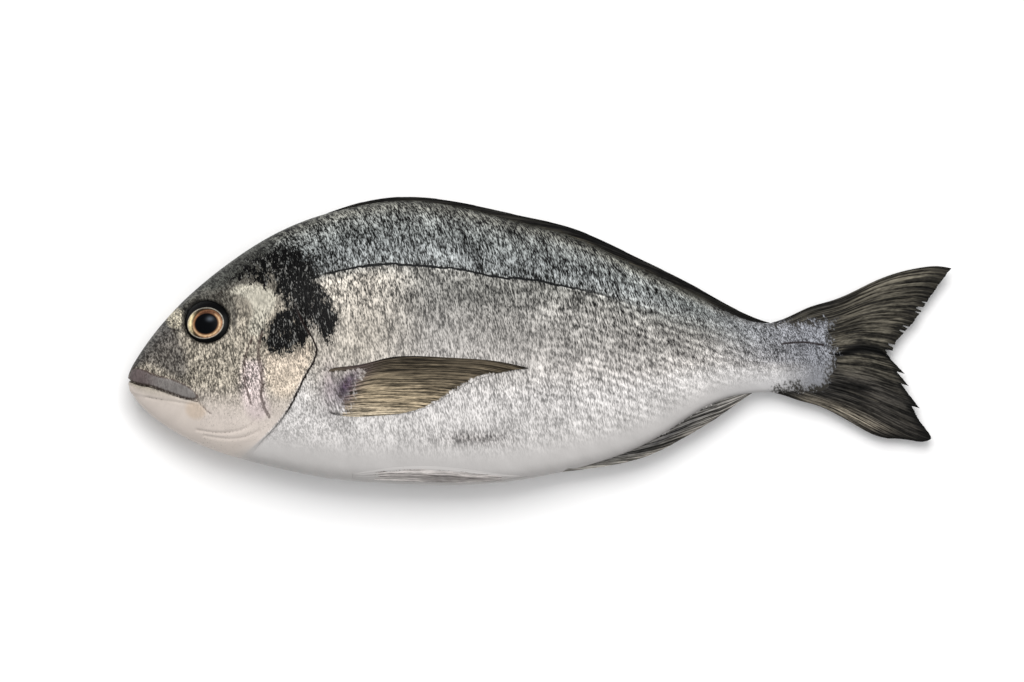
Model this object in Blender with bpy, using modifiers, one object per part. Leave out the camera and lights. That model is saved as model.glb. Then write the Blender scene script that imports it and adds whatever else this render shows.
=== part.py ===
"""A whole gilthead sea bream, lying on its right side with the left side up.

+X runs from the snout to the tail, +Y to the back and +Z up. The origin is the
middle of the fish's box on the surface that it lies on. All sizes are in metres.
"""

import math
import random

import bmesh
import bpy
import numpy as np
from mathutils import Matrix, Vector

MM = 0.001

TOTAL_LENGTH = 330 * MM
SNOUT_X = -TOTAL_LENGTH / 2

# Side outlines of the fleshy body: distance behind the snout, then height, in millimetres.
BACK_LINE = (
    (0, -14.6), (1.8, -9.8), (11.2, 3.9), (24, 17.8), (40, 31.0), (62.5, 44.8), (88, 53.4), (111, 56.4),
    (139, 52.4), (160, 46.8), (178, 41.6), (203, 29.8), (229, 17.2), (245, 9.6), (256, 7.8), (268, 9.6),
    (284, 12.0),
)
BELLY_LINE = (
    (0, -14.8), (4, -24.1), (15.2, -33.7), (34.4, -43.2), (60, -50.6), (83, -55.0), (105, -56.7),
    (133, -57.4), (158, -55.2), (184, -49.6), (213.5, -37.6), (232, -26.0), (252, -20.2), (268, -21.4),
    (284, -22.4),
)
# Half of the body's thickness, and the height of its middle plane, which sags towards snout and tail.
HALF_WIDTH = (
    (0, 0.3), (2, 4.4), (8, 8.3), (20, 12.8), (40, 17.4), (65, 20.9), (95, 22.6), (120, 22.2),
    (150, 19.8), (180, 15.9), (210, 11.4), (235, 7.8), (255, 5.4), (270, 3.3), (284, 1.2),
)
MIDDLE_PLANE = (
    (0, 17.0), (40, 19.6), (90, 21.0), (130, 20.6), (180, 17.4), (235, 12.2), (284, 9.2), (330, 7.0),
)
WIDEST_SHARE = 0.5        # height of the widest line, as a share of the depth
RIDGE_POWER = 1.12        # above 1 narrows the back, below 1 rounds the belly
BELLY_POWER = 0.86

# Rear edge of the gill cover: height, then distance behind the snout, in millimetres.
GILL_EDGE = (
    (-60, 38), (-46, 46.5), (-38, 55), (-26, 65), (-13.4, 71.3), (-3.3, 75.4), (5.7, 71.2), (18.6, 66),
    (60, 56),
)
GILL_MIDDLE = 66 * MM     # station of the rings that follow the edge
GILL_RAISE = 0.9 * MM
GILL_SINK = 0.6 * MM
GILL_TOP = 20 * MM        # the opening ends here, below the nape
GILL_BOTTOM = -47 * MM
GILL_STEP = 0.6 * MM

RING_POINTS = 40

EYE_BEHIND_SNOUT = 31.4 * MM
EYE_HEIGHT = 7.6 * MM
EYE_RADIUS = 8.8 * MM
EYE_FLATNESS = 0.55
EYE_BULGE = 2.0 * MM

MOUTH_LINE = ((0.3, -15.6), (7.6, -17.9), (13, -19.7), (18.4, -21.3), (24.6, -23.6))
MOUTH_GROOVE = 0.7 * MM
# Squashed balls laid along the jaw: start and end as (behind snout, height), half height and half thickness.
LIP_PLATES = (((2.5, -12.8), (20, -19.4), 2.6, 2.2), ((9.5, -12.6), (27.4, -20.2), 3.3, 1.9))

# The fan of the tail fin, as (behind snout, height) in millimetres: each edge is a curve with one handle.
TAIL_ROOT = ((255.5, 6.4), (273, 9.4), (281, -4.6), (276, -18.6), (257.5, -18.6))
TAIL_UPPER_EDGE = ((309.5, 30.8), (330, 29.8))
TAIL_LOWER_EDGE = ((302, -43.4), (321.8, -39.6))
TAIL_REAR_EDGE = (
    (330, 29.8), (325, 21.8), (319, 14.4), (313, 3.6), (306.4, -4.6), (310.2, -14), (316.4, -27),
    (321.8, -39.6),
)
TAIL_RAYS = 17
TAIL_THICK = 1.5 * MM
TAIL_THIN = 0.8 * MM
TAIL_STEPS = 10
TAIL_FRAY = 2.2 * MM

# The chest fin laid back on the flank: each edge as (behind snout, height) in millimetres.
CHEST_FIN_TOP = ((84, -10.4), (98, -8.4), (111, -5.9), (132, -6.8), (148, -8.6), (160.6, -10.6))
CHEST_FIN_LOW = ((86, -29.2), (98, -29.4), (108, -28.6), (120, -25.0), (132, -17.6), (160.6, -11.0))
CHEST_FIN_THICK = 2.4 * MM
CHEST_FIN_LIFT = 0.1 * MM

# Folded fins: first and last station, crest height along them, half width and pitch of the folded rays.
BACK_FIN = {
    "line": ((80, 0.2), (92, 1.2), (112, 1.5), (140, 2.1), (165, 3.2), (200, 4.3), (232, 3.7), (250, 1.8),
             (257, 0.2)),
    "half_width": 1.5 * MM, "pitch": 7.4 * MM, "tooth": 0.6 * MM, "side": 1,
}
VENT_FIN = {
    "line": ((174, 0.2), (189, 2.0), (205, 4.6), (221, 6.7), (229, 7.2), (237, 6.0), (245, 2.6), (250, 0.2)),
    "half_width": 1.5 * MM, "pitch": 5.4 * MM, "tooth": 0.5 * MM, "side": -1,
}

# The two belly fins, folded back beside the keel of the belly.
BELLY_FIN_START = 92 * MM
BELLY_FIN_LENGTH = 66 * MM
BELLY_FIN_ANGLES = (math.radians(150), math.radians(168))
BELLY_FIN_THICK = 2.6 * MM

FLOOR_BLOCK = 400 * MM
SKIN_COLOUR = (0.42, 0.43, 0.42, 1.0)


def smooth_line(knots, root=False):
    """A natural cubic curve through the knots. With root it runs on the square root of the first number,
    so that a line that starts at the snout starts steeply and the snout is round."""
    place = np.array([k[0] for k in knots], float) * MM
    value = np.array([k[1] for k in knots], float) * MM
    if root:
        place = np.sqrt(place)
    gap = np.diff(place)
    slope = np.diff(value) / gap
    n = len(place)
    system = np.eye(n)
    right = np.zeros(n)
    for i in range(1, n - 1):
        system[i, i - 1:i + 2] = gap[i - 1], 2 * (gap[i - 1] + gap[i]), gap[i]
        right[i] = 6 * (slope[i] - slope[i - 1])
    bend = np.linalg.solve(system, right)

    def at(x):
        x = np.asarray(x, float)
        x = np.sqrt(np.maximum(x, 0)) if root else x
        x = np.clip(x, place[0], place[-1])
        i = np.clip(np.searchsorted(place, x) - 1, 0, n - 2)
        a = place[i + 1] - x
        b = x - place[i]
        h = gap[i]
        return ((bend[i] * a**3 + bend[i + 1] * b**3) / (6 * h)
                + (value[i] / h - bend[i] * h / 6) * a + (value[i + 1] / h - bend[i + 1] * h / 6) * b)

    return at


back_at = smooth_line(BACK_LINE, root=True)
belly_at = smooth_line(BELLY_LINE, root=True)
width_at = smooth_line(HALF_WIDTH, root=True)
plane_at = smooth_line(MIDDLE_PLANE)
gill_at = smooth_line(GILL_EDGE)


def gill_relief(behind, height):
    """The gill cover stands proud in front of its rear edge, and the shoulder sinks just behind it."""
    ahead = gill_at(height) - behind
    fade_top = np.clip((GILL_TOP - height) / (12 * MM), 0, 1)
    fade_low = np.clip((height - GILL_BOTTOM) / (8 * MM), 0, 1)
    raised = GILL_RAISE * np.exp(-np.maximum(ahead, 0) / (16 * MM))
    sunk = -GILL_SINK * np.exp(np.minimum(ahead, 0) / (5 * MM))
    return np.where(ahead > 0, raised, sunk) * fade_top * fade_low


def skin_point(behind, angle, side=1):
    """A point of the skin. Angle 0 is the back's ridge and pi the keel, and side is +1 on the left flank."""
    back = back_at(behind)
    belly = belly_at(behind)
    middle = belly + WIDEST_SHARE * (back - belly)
    upper = np.cos(angle) > 0
    height = middle + np.where(upper, back - middle, middle - belly) * np.cos(angle)
    power = np.where(upper, RIDGE_POWER, BELLY_POWER)
    across = np.clip(np.sin(angle), 0, 1)
    out = width_at(behind) * across**power + gill_relief(behind, height) * np.clip(2 * across, 0, 1)
    return np.array([SNOUT_X + behind, height, plane_at(behind) + side * out])


def skin_above(behind, height):
    """Half thickness of the body at a place in the side view, found from the angle whose height it is."""
    back = back_at(behind)
    belly = belly_at(behind)
    middle = belly + WIDEST_SHARE * (back - belly)
    reach = np.where(height > middle, back - middle, middle - belly)
    angle = np.arccos(np.clip((height - middle) / reach, -0.999, 0.999))
    return skin_point(behind, angle)[2] - plane_at(behind)


def ring_stations():
    """Stations of the rings: close at the snout, a pair at the gill cover's edge, then even to the tail."""
    snout = [0.5 * MM * (i + 1) ** 1.6 for i in range(9)]
    head = list(np.arange(20, 64, 3.6) * MM)
    edge = [GILL_MIDDLE - GILL_STEP, GILL_MIDDLE + GILL_STEP]
    trunk = list(np.arange(70, 256, 4.9) * MM)
    wrist = list(np.arange(258, 284, 4.2) * MM)
    return snout + head + edge + trunk + wrist


def ring_place(station, angle):
    """Rings near the gill cover bend so that one of them runs along its edge."""
    if station < GILL_MIDDLE:
        share = (station / GILL_MIDDLE) ** 1.5
    else:
        share = max(0.0, 1 - (station - GILL_MIDDLE) / (70 * MM)) ** 1.5
    behind = station
    for _ in range(12):
        height = skin_point(behind, angle)[1]
        behind = station + share * (float(gill_at(height)) - GILL_MIDDLE)
    return behind


def link(obj, collection):
    collection.objects.link(obj)
    return obj


def mesh_object(name, points, faces, collection):
    mesh = bpy.data.meshes.new(name)
    mesh.from_pydata([tuple(map(float, p)) for p in points], [], faces)
    return link(bpy.data.objects.new(name, mesh), collection)


def make_body(collection):
    """The body is a loft between unlike rings, closed by a point at the snout and one at the tail's root."""
    stations = ring_stations()
    half = RING_POINTS // 2
    turns = [(math.pi * i / half, 1) for i in range(half)]
    turns += [(math.pi * (half - i) / half, -1) for i in range(half)]
    points = [(SNOUT_X, float(back_at(0)), float(plane_at(0)))]
    for station in stations:
        for angle, side in turns:
            points.append(skin_point(ring_place(station, angle), angle, side))
    end = len(points)
    last = stations[-1]
    centre = float(back_at(last) + belly_at(last)) / 2
    points.append((SNOUT_X + last + 1.2 * MM, centre, float(plane_at(last))))
    faces = []
    for k in range(RING_POINTS):
        after = (k + 1) % RING_POINTS
        faces.append((0, 1 + k, 1 + after))
        faces.append((end, end - RING_POINTS + after, end - RING_POINTS + k))
    for r in range(len(stations) - 1):
        first = 1 + r * RING_POINTS
        for k in range(RING_POINTS):
            after = (k + 1) % RING_POINTS
            faces.append((first + k, first + RING_POINTS + k, first + RING_POINTS + after, first + after))
    body = mesh_object("sea_bream", points, faces, collection)
    recalculate(body)
    return body


def recalculate(obj):
    """Turns every face outwards."""
    work = bmesh.new()
    work.from_mesh(obj.data)
    bmesh.ops.recalc_face_normals(work, faces=work.faces)
    work.to_mesh(obj.data)
    work.free()


def skin_frame(behind, height, side):
    """Place on the skin, and a turn whose Z is the skin's outward normal there."""
    def at(b, h):
        return Vector((SNOUT_X + b, h, float(plane_at(b)) + side * float(skin_above(b, h))))
    step = 1.5 * MM
    place = at(behind, height)
    normal = (at(behind + step, height) - at(behind - step, height)).cross(
        at(behind, height + step) - at(behind, height - step)) * side
    return place, normal.to_track_quat("Z", "X").to_matrix().to_4x4()


def make_eyes(collection):
    """Each eye is a flattened ball that shows as a low dome."""
    for side in (1, -1):
        place, turn = skin_frame(EYE_BEHIND_SNOUT, EYE_HEIGHT, side)
        work = bmesh.new()
        bmesh.ops.create_uvsphere(work, u_segments=20, v_segments=10, radius=EYE_RADIUS)
        sunk = EYE_BULGE - EYE_RADIUS * EYE_FLATNESS
        squash = Matrix.Diagonal((1, 1, EYE_FLATNESS, 1))
        work.transform(Matrix.Translation(place) @ turn @ Matrix.Translation((0, 0, sunk)) @ squash)
        mesh = bpy.data.meshes.new("eye")
        work.to_mesh(mesh)
        work.free()
        link(bpy.data.objects.new("eye", mesh), collection)


def make_lips(collection):
    """The upper lip and the jaw plate behind it, as squashed balls along the jaw on each side."""
    for side in (1, -1):
        for start, end, half_height, half_thick in LIP_PLATES:
            first = skin_frame(start[0] * MM, start[1] * MM, side)[0]
            last = skin_frame(end[0] * MM, end[1] * MM, side)[0]
            middle = (first + last) / 2
            along = (last - first).normalized()
            out = Vector((0, 0, side))
            across = out.cross(along).normalized()
            out = along.cross(across)
            turn = Matrix((along, across, out)).transposed().to_4x4()
            half_length = (last - first).length / 2 + 1.5 * MM
            size = Matrix.Diagonal((half_length, half_height * MM, half_thick * MM, 1))
            work = bmesh.new()
            bmesh.ops.create_uvsphere(work, u_segments=12, v_segments=8, radius=1)
            work.transform(Matrix.Translation(middle) @ turn @ size)
            mesh = bpy.data.meshes.new("lip")
            work.to_mesh(mesh)
            work.free()
            link(bpy.data.objects.new("lip", mesh), collection)


def bezier(start, handle, end, t):
    return (1 - t) ** 2 * start + 2 * t * (1 - t) * handle + t**2 * end


def along_points(points, share):
    """A point at a share of the way through a chain of points, each as (behind snout, height) in mm."""
    chain = np.array(points, float)
    place = share * (len(chain) - 1)
    i = min(int(place), len(chain) - 2)
    return chain[i] + (place - i) * (chain[i + 1] - chain[i])


def solid_sheet(name, grid, thickness, collection, thin=None):
    """An open grid of points made solid. Thin gives each point's share of the thickness."""
    rows, columns = len(grid), len(grid[0])
    faces = [(r * columns + c, (r + 1) * columns + c, (r + 1) * columns + c + 1, r * columns + c + 1)
             for r in range(rows - 1) for c in range(columns - 1)]
    sheet = mesh_object(name, [p for row in grid for p in row], faces, collection)
    solid = sheet.modifiers.new("thickness", "SOLIDIFY")
    solid.thickness = thickness
    solid.offset = 0
    if thin is not None:
        group = sheet.vertex_groups.new(name="rays")
        for index, share in enumerate(s for row in thin for s in row):
            group.add([index], share, "REPLACE")
        solid.vertex_group = group.name
    return sheet


def make_tail_fin(collection):
    """The forked tail fin is a fan of rays from the tail's root, thick on each ray and thin between."""
    random.seed(3)
    columns = 2 * TAIL_RAYS + 1
    grid = []
    thin = []
    for c in range(columns):
        v = c / (columns - 1)
        root = along_points(TAIL_ROOT, v)
        tip = along_points(TAIL_REAR_EDGE, v)
        upper = bezier(*(np.array(point) for point in (TAIL_ROOT[0], *TAIL_UPPER_EDGE)), 0.5)
        lower = bezier(*(np.array(point) for point in (TAIL_ROOT[-1], *TAIL_LOWER_EDGE)), 0.5)
        edge = upper if v < 0.5 else lower
        other = TAIL_UPPER_EDGE if v < 0.5 else TAIL_LOWER_EDGE
        start = TAIL_ROOT[0] if v < 0.5 else TAIL_ROOT[-1]
        bow = (edge - (np.array(start) + np.array(other[1])) / 2) * abs(2 * v - 1) ** 2
        on_ray = c % 2 == 0
        cut = 0 if c in (0, columns - 1) else (random.random() * TAIL_FRAY / MM if on_ray else TAIL_FRAY / MM)
        length = np.linalg.norm(tip - root)
        ray = []
        share = []
        for s in range(TAIL_STEPS + 1):
            u = s / TAIL_STEPS
            flat = root + (tip - root) * u * (1 - cut / length) + bow * 4 * u * (1 - u)
            behind, height = flat * MM
            ray.append((SNOUT_X + behind, height, float(plane_at(behind))))
            thick = TAIL_THICK if on_ray else TAIL_THIN
            share.append(thick / TAIL_THICK * (1 - 0.35 * u))
        grid.append(ray)
        thin.append(share)
    solid_sheet("tail_fin", grid, TAIL_THICK, collection, thin)


def make_chest_fins(collection):
    """The two chest fins lie back against the flanks, and follow their curve."""
    top = smooth_line(CHEST_FIN_TOP)
    low = smooth_line(CHEST_FIN_LOW)
    first = CHEST_FIN_TOP[0][0] * MM
    last = CHEST_FIN_TOP[-1][0] * MM
    steps, columns = 13, 8
    for side in (1, -1):
        grid = []
        for s in range(steps):
            u = (s / (steps - 1)) ** 0.9
            behind = first + u * (last - first)
            row = []
            for c in range(columns):
                v = c / (columns - 1)
                height = float(top(behind) + v * (low(behind) - top(behind)) - 0.3 * MM * v)
                slant = -2.5 * MM * math.sin(math.pi * v) * (1 - u)
                ray = 0.22 * MM * (c % 2) * (1 - u)
                out = float(skin_above(behind + slant, height)) + CHEST_FIN_LIFT + ray
                row.append((SNOUT_X + behind + slant, height, float(plane_at(behind + slant)) + side * out))
            grid.append(row)
        solid_sheet("chest_fin", grid, CHEST_FIN_THICK, collection)


def make_folded_fin(name, fin, collection):
    """A fin folded down on the midline: a low blade whose crest steps down at the tip of each folded ray."""
    crest = smooth_line(fin["line"])
    first, last = fin["line"][0][0] * MM, fin["line"][-1][0] * MM
    edge_at = back_at if fin["side"] > 0 else belly_at
    count = 2 * round((last - first) / fin["pitch"])
    points = []
    for s in range(count + 1):
        behind = first + (last - first) * s / count
        fade = min(1, s / 3, (count - s) / 3)
        height = float(crest(behind)) + (fin["tooth"] * fade if s % 2 else 0)
        root = float(edge_at(behind)) - fin["side"] * 2.4 * MM
        tip = float(edge_at(behind)) + fin["side"] * height
        wide = fin["half_width"] * (0.35 + 0.65 * fade)
        z = float(plane_at(behind))
        x = SNOUT_X + behind
        shoulder = root + 0.72 * (tip - root)
        points += [(x, root, z - wide), (x, shoulder, z - 0.7 * wide), (x, tip, z - 0.25 * wide),
                   (x, tip, z + 0.25 * wide), (x, shoulder, z + 0.7 * wide), (x, root, z + wide)]
    around = 6
    faces = [tuple(range(around)), tuple(range(count * around, (count + 1) * around))]
    for s in range(count):
        for k in range(around):
            after = (k + 1) % around
            a = s * around
            faces.append((a + k, a + after, a + around + after, a + around + k))
    blade = mesh_object(name, points, faces, collection)
    recalculate(blade)


def make_belly_fins(collection):
    """The pair of belly fins, each a narrow leaf that follows the belly's curve beside its keel."""
    steps, columns = 12, 5
    inner, outer = BELLY_FIN_ANGLES[1], BELLY_FIN_ANGLES[0]
    for side in (1, -1):
        grid = []
        for s in range(steps):
            u = s / (steps - 1)
            behind = BELLY_FIN_START + u * BELLY_FIN_LENGTH
            spread = math.sin(math.pi * min(1, 0.12 + 0.86 * u) ** 0.8)
            row = []
            for c in range(columns):
                angle = inner - (inner - outer) * spread * c / (columns - 1)
                x, y, z = (float(n) for n in skin_point(behind, angle, side))
                ray = 0.25 * MM * (c % 2)
                row.append((x, y - ray, z + side * ray))
            grid.append(row)
        solid_sheet("belly_fin", grid, BELLY_FIN_THICK, collection)


def make_mouth_groove(collection):
    """A round wire that runs from one corner of the mouth round the snout to the other."""
    left, right = ([skin_frame(behind * MM, height * MM, side)[0] for behind, height in MOUTH_LINE[1:]]
                   for side in (1, -1))
    front = Vector((SNOUT_X - 0.1 * MM, MOUTH_LINE[0][1] * MM, float(plane_at(0))))
    route = left[::-1] + [front] + right
    curve = bpy.data.curves.new("mouth", "CURVE")
    curve.dimensions = "3D"
    curve.bevel_depth = MOUTH_GROOVE
    curve.bevel_resolution = 1
    curve.use_fill_caps = True
    spline = curve.splines.new("POLY")
    spline.points.add(len(route) - 1)
    for point, place in zip(spline.points, route):
        point.co = (*place, 1)
    wire = link(bpy.data.objects.new("mouth", curve), collection)
    bpy.context.view_layer.update()
    mesh = bpy.data.meshes.new_from_object(wire.evaluated_get(bpy.context.evaluated_depsgraph_get()))
    work = bmesh.new()
    work.from_mesh(mesh)
    bmesh.ops.remove_doubles(work, verts=work.verts, dist=0.01 * MM)
    bmesh.ops.recalc_face_normals(work, faces=work.faces)
    work.to_mesh(mesh)
    work.free()
    groove = link(bpy.data.objects.new("mouth_groove", mesh), collection)
    groove.matrix_world = wire.matrix_world
    bpy.data.objects.remove(wire)
    return groove


def make_floor_block(collection):
    """All below the surface that the fish lies on, which leaves its pressed flank flat."""
    bpy.ops.mesh.primitive_cube_add(size=FLOOR_BLOCK, location=(0, 0, -FLOOR_BLOCK / 2))
    block = bpy.context.object
    block.name = "floor_block"
    for user in list(block.users_collection):
        user.objects.unlink(block)
    return link(block, collection)


def apply_modifiers(obj):
    """Makes the evaluated shape the object's own mesh."""
    bpy.context.view_layer.update()
    mesh = bpy.data.meshes.new_from_object(obj.evaluated_get(bpy.context.evaluated_depsgraph_get()))
    obj.modifiers.clear()
    obj.data = mesh


def new_collection(name, parent):
    made = bpy.data.collections.new(name)
    parent.children.link(made)
    return made


def skin_material():
    skin = bpy.data.materials.new("skin")
    skin.use_nodes = True
    shader = skin.node_tree.nodes["Principled BSDF"]
    shader.inputs["Base Color"].default_value = SKIN_COLOUR
    shader.inputs["Roughness"].default_value = 0.38
    shader.inputs["Metallic"].default_value = 0.0
    return skin


def main():
    for obj in list(bpy.data.objects):
        bpy.data.objects.remove(obj)
    scene = bpy.context.scene.collection
    fish = new_collection("gilthead_sea_bream", scene)
    joined = new_collection("joined", scene)
    cutters = new_collection("cutters", scene)

    body = make_body(fish)
    make_eyes(joined)
    make_lips(joined)
    make_tail_fin(joined)
    make_chest_fins(joined)
    make_folded_fin("back_fin", BACK_FIN, joined)
    make_folded_fin("vent_fin", VENT_FIN, joined)
    make_belly_fins(joined)

    union = body.modifiers.new("join", "BOOLEAN")
    union.operation = "UNION"
    union.operand_type = "COLLECTION"
    union.collection = joined
    union.solver = "MANIFOLD"
    apply_modifiers(body)
    for obj in list(joined.objects):
        bpy.data.objects.remove(obj)
    bpy.data.collections.remove(joined)

    for cutter in (make_mouth_groove(cutters), make_floor_block(cutters)):
        cutter.hide_render = True
        cutter.display_type = "WIRE"
        cut = body.modifiers.new(cutter.name, "BOOLEAN")
        cut.operation = "DIFFERENCE"
        cut.object = cutter
        cut.solver = "MANIFOLD"

    body.data.materials.clear()
    body.data.materials.append(skin_material())
    body.data.shade_smooth()
    body.data.set_sharp_from_angle(angle=math.radians(40))


main()
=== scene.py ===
import math

import bpy
import numpy as np
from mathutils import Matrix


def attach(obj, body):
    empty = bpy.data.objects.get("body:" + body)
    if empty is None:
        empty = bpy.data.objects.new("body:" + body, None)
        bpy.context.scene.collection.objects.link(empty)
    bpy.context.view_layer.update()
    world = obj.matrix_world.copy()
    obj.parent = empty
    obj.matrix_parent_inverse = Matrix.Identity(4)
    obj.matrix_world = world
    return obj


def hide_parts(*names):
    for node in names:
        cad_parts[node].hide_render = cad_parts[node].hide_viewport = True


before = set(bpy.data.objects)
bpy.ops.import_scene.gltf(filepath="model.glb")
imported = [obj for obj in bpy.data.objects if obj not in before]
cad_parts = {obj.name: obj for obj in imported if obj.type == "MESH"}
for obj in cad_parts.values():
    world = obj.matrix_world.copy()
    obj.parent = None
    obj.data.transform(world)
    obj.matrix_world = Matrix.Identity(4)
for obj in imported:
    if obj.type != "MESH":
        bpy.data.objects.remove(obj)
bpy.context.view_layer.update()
print("loaded the solid")

# All lengths are in millimetres until a piece is made. x runs from snout to tail, y from belly to back, z up.
mm = 0.001

body = {
    "snoutX": -165.0,
    # distance behind the snout, height
    "backLine": ((0, -14.6), (1.8, -9.8), (11.2, 3.9), (24, 17.8), (40, 31.0), (62.5, 44.8), (88, 53.4),
                 (111, 56.4), (139, 52.4), (160, 46.8), (178, 41.6), (203, 29.8), (229, 17.2), (245, 9.6),
                 (256, 7.4), (270, 8.8), (284, 9.8)),
    "bellyLine": ((0, -14.8), (4, -24.1), (15.2, -33.7), (34.4, -43.2), (60, -50.6), (83, -55.0),
                  (105, -56.7), (133, -57.4), (158, -55.2), (184, -49.6), (213.5, -37.6), (232, -26.0),
                  (252, -20.4), (270, -20.4), (284, -20.8)),
    "halfWidth": ((0, 0.3), (2, 4.4), (8, 8.3), (20, 12.8), (40, 17.4), (65, 20.9), (95, 22.6), (120, 22.2),
                  (150, 19.8), (180, 15.9), (210, 11.4), (235, 7.8), (255, 5.2), (268, 3.3), (277, 1.4),
                  (281, 0.6), (284, 0.2)),
    "middlePlane": ((0, 17.0), (40, 19.6), (90, 21.0), (130, 20.6), (180, 17.4), (235, 12.2), (284, 9.2),
                    (330, 7.0)),
    "length": 284.0,
    "widestShare": 0.5,       # height of the widest line, as a share of the depth
    "backPower": 1.12,        # above 1 narrows the back
    "bellyPower": 0.86,       # below 1 rounds the belly
    "restHeight": 0.25,       # the pressed flank is flat at this height
}

gill = {
    # height, distance behind the snout
    "edge": ((-60, 38), (-46, 46.5), (-38, 55), (-26, 65), (-13.4, 71.3), (-3.3, 75.6), (5.7, 71.2),
             (18.6, 66), (60, 56)),
    "middle": 66.0,
    "raise": 0.9, "raiseLength": 16.0,
    "sink": 0.7, "sinkLength": 5.0,
    "top": 20.0, "topFade": 12.0, "bottom": -47.0, "bottomFade": 8.0,
    "bendReach": 70.0, "bendPower": 1.5,      # how far behind it the trunk's rings still bend
}

eye = {
    "centre": (-133.4, 8.0), "outer": (9.3, 8.7), "lens": (7.9, 6.4), "lensShift": (0.0, -0.8),
    "copper": (6.5, 5.9), "copperShift": (1.1, -1.15), "pupil": (5.1, 4.4), "pupilShift": (0.7, -1.2),
    "bulge": 1.5, "depth": 4.2, "beyond": 1.3,      # the ball runs on under the rim of its socket
    "socket": 3.6, "cornea": 0.25, "mottle": 2.4,
    "frontEnd": 1.5,          # the front is all within this angle of the ball's middle
    "slopeReach": 6.0,        # the skin's slope is measured over this distance to each side
    "columns": 110, "rows": 160, "leastHeight": 0.1,
}

nostril = {
    "rear": (-146.4, 4.6), "rearReach": (0.9, 0.7), "rearDepth": 0.9,
    "rimRadius": 1.7, "rimWidth": 0.6, "rimHeight": 0.3,
    "front": (-149.2, 3.4), "frontReach": (0.6, 0.6), "frontDepth": 0.6,
}

# outline of the upper jaw's smooth plate, and the lower lip
jawPlate = ((-164.4, -14.6), (-162.6, -11.2), (-158.9, -11.3), (-154, -13.4), (-147.8, -15), (-142.9, -16.8),
            (-138.6, -19.6), (-136.9, -22.4), (-140.5, -22.7), (-145.4, -21.2), (-151.6, -19.0),
            (-156.5, -17.5), (-161.4, -16.5))
lowerLip = ((-162.6, -19.2), (-157.5, -20.4), (-151, -22.1), (-145, -23.6))

# grooves on the head. A drawn one has a dark line of painted shade, fainter the more mm are added to the
# distance from it.
grooves = {
    "cheekPlate": {"depth": 0.45, "width": 0.8, "fade": 1.0, "faint": -0.25,
                   "path": ((-110.6, 4.0), (-112.4, -3.4), (-111, -13.4), (-110.9, -23.4), (-108.2, -30.0))},
    "innerPlate": {"depth": 0.28, "width": 0.9, "fade": 0.0, "faint": -0.1,
                   "path": ((-114.5, 2.0), (-117.2, -4.6), (-117.3, -18.2), (-115.2, -25.0))},
    "throatOne": {"depth": 0.45, "width": 0.6, "fade": 0.0, "faint": 0.5,
                  "path": ((-137, -35.4), (-130, -36.4), (-122.6, -36), (-116, -33.6), (-112.2, -30.2))},
    "throatTwo": {"depth": 0.4, "width": 0.6, "fade": 0.0, "faint": 0.52,
                  "path": ((-134, -37.6), (-127.2, -38.6), (-118.8, -38.2), (-112, -35.5))},
    "cheekLow": {"depth": 0.3, "width": 0.6, "fade": 0.0, "faint": 0.2,
                 "path": ((-137.0, -23.0), (-134.5, -26.2), (-131.5, -28.8))},
    "chinFold": {"depth": 0.35, "width": 0.6, "fade": 0.0, "faint": 0.5,
                 "path": ((-157.1, -22.2), (-150.4, -23.4), (-144.1, -24.4), (-138.8, -25.2))},
    "mouth": {"depth": 1.0, "width": 0.5, "fade": 0.0,
              "path": ((-165.4, -15.4), (-161.4, -17.1), (-156.5, -18.1), (-151.6, -19.6), (-145.4, -21.8),
                       (-140.5, -23.2), (-136.8, -23.9))},
}
stalkLine = ((97.2, -0.9), (105, -0.3), (113.6, -1.4))

lateralLine = ((-98, 23.5), (-88.4, 26.3), (-74.2, 29.4), (-59.7, 30.9), (-47.5, 30.2), (-32.2, 28.8),
               (-16.9, 25.8), (-4, 24.8), (8.7, 22.2), (23.8, 19.1), (41.7, 13.3), (50.6, 10.6), (72, 4.6),
               (96.5, -2), (106.9, -1.6), (130, -2.2))

# smooth patches of colour on the head: colour, strength, softness of the rim, outline
patches = (
    ((70, 71, 67), 0.85, 2.2,
     ((-160, -6), (-150, 10), (-136, 26), (-118, 40), (-100, 49), (-84, 56), (-86, 44), (-104, 36),
      (-121, 25), (-134, 18.5), (-143, 13), (-151, 2))),
    ((92, 89, 86), 0.85, 2.5,
     ((-164, -11), (-158, -1), (-149, 8), (-145, 3), (-141, -6), (-142, -15), (-150, -12), (-158, -9))),
    ((196, 188, 168), 0.9, 1.0,
     ((-149.5, 9.2), (-146.5, 13.0), (-143.2, 12.6), (-142.6, 9.0), (-144.2, 5.6), (-148.4, 6.6))),
    ((84, 82, 76), 0.75, 2.0,
     ((-144, 14), (-138, 20), (-128, 20), (-121, 14), (-122, 4), (-126, 12), (-134, 17), (-142, 12))),
    ((200, 195, 180), 0.95, 1.0,
     ((-125, 19.6), (-118.6, 22.6), (-111, 22.4), (-105.8, 18.8), (-106, 13.6), (-109.2, 8.6), (-111.4, 2.6),
      (-116, 3.4), (-114.6, 11), (-117.4, 17.4))),
    ((219, 204, 186), 0.9, 2.6,
     ((-109, -4), (-101, -5.5), (-92, -2), (-93, -13), (-97, -20), (-103, -22), (-109, -16))),
    ((218, 202, 202), 0.7, 2.2,
     ((-118, -8), (-112, -8), (-110, -20), (-108.5, -29), (-113, -31), (-119, -22))),
    ((206, 184, 160), 0.55, 1.2,
     ((-141, -24.6), (-137, -24.4), (-133.5, -28.5), (-137, -31), (-141.5, -28))),
)
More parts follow.
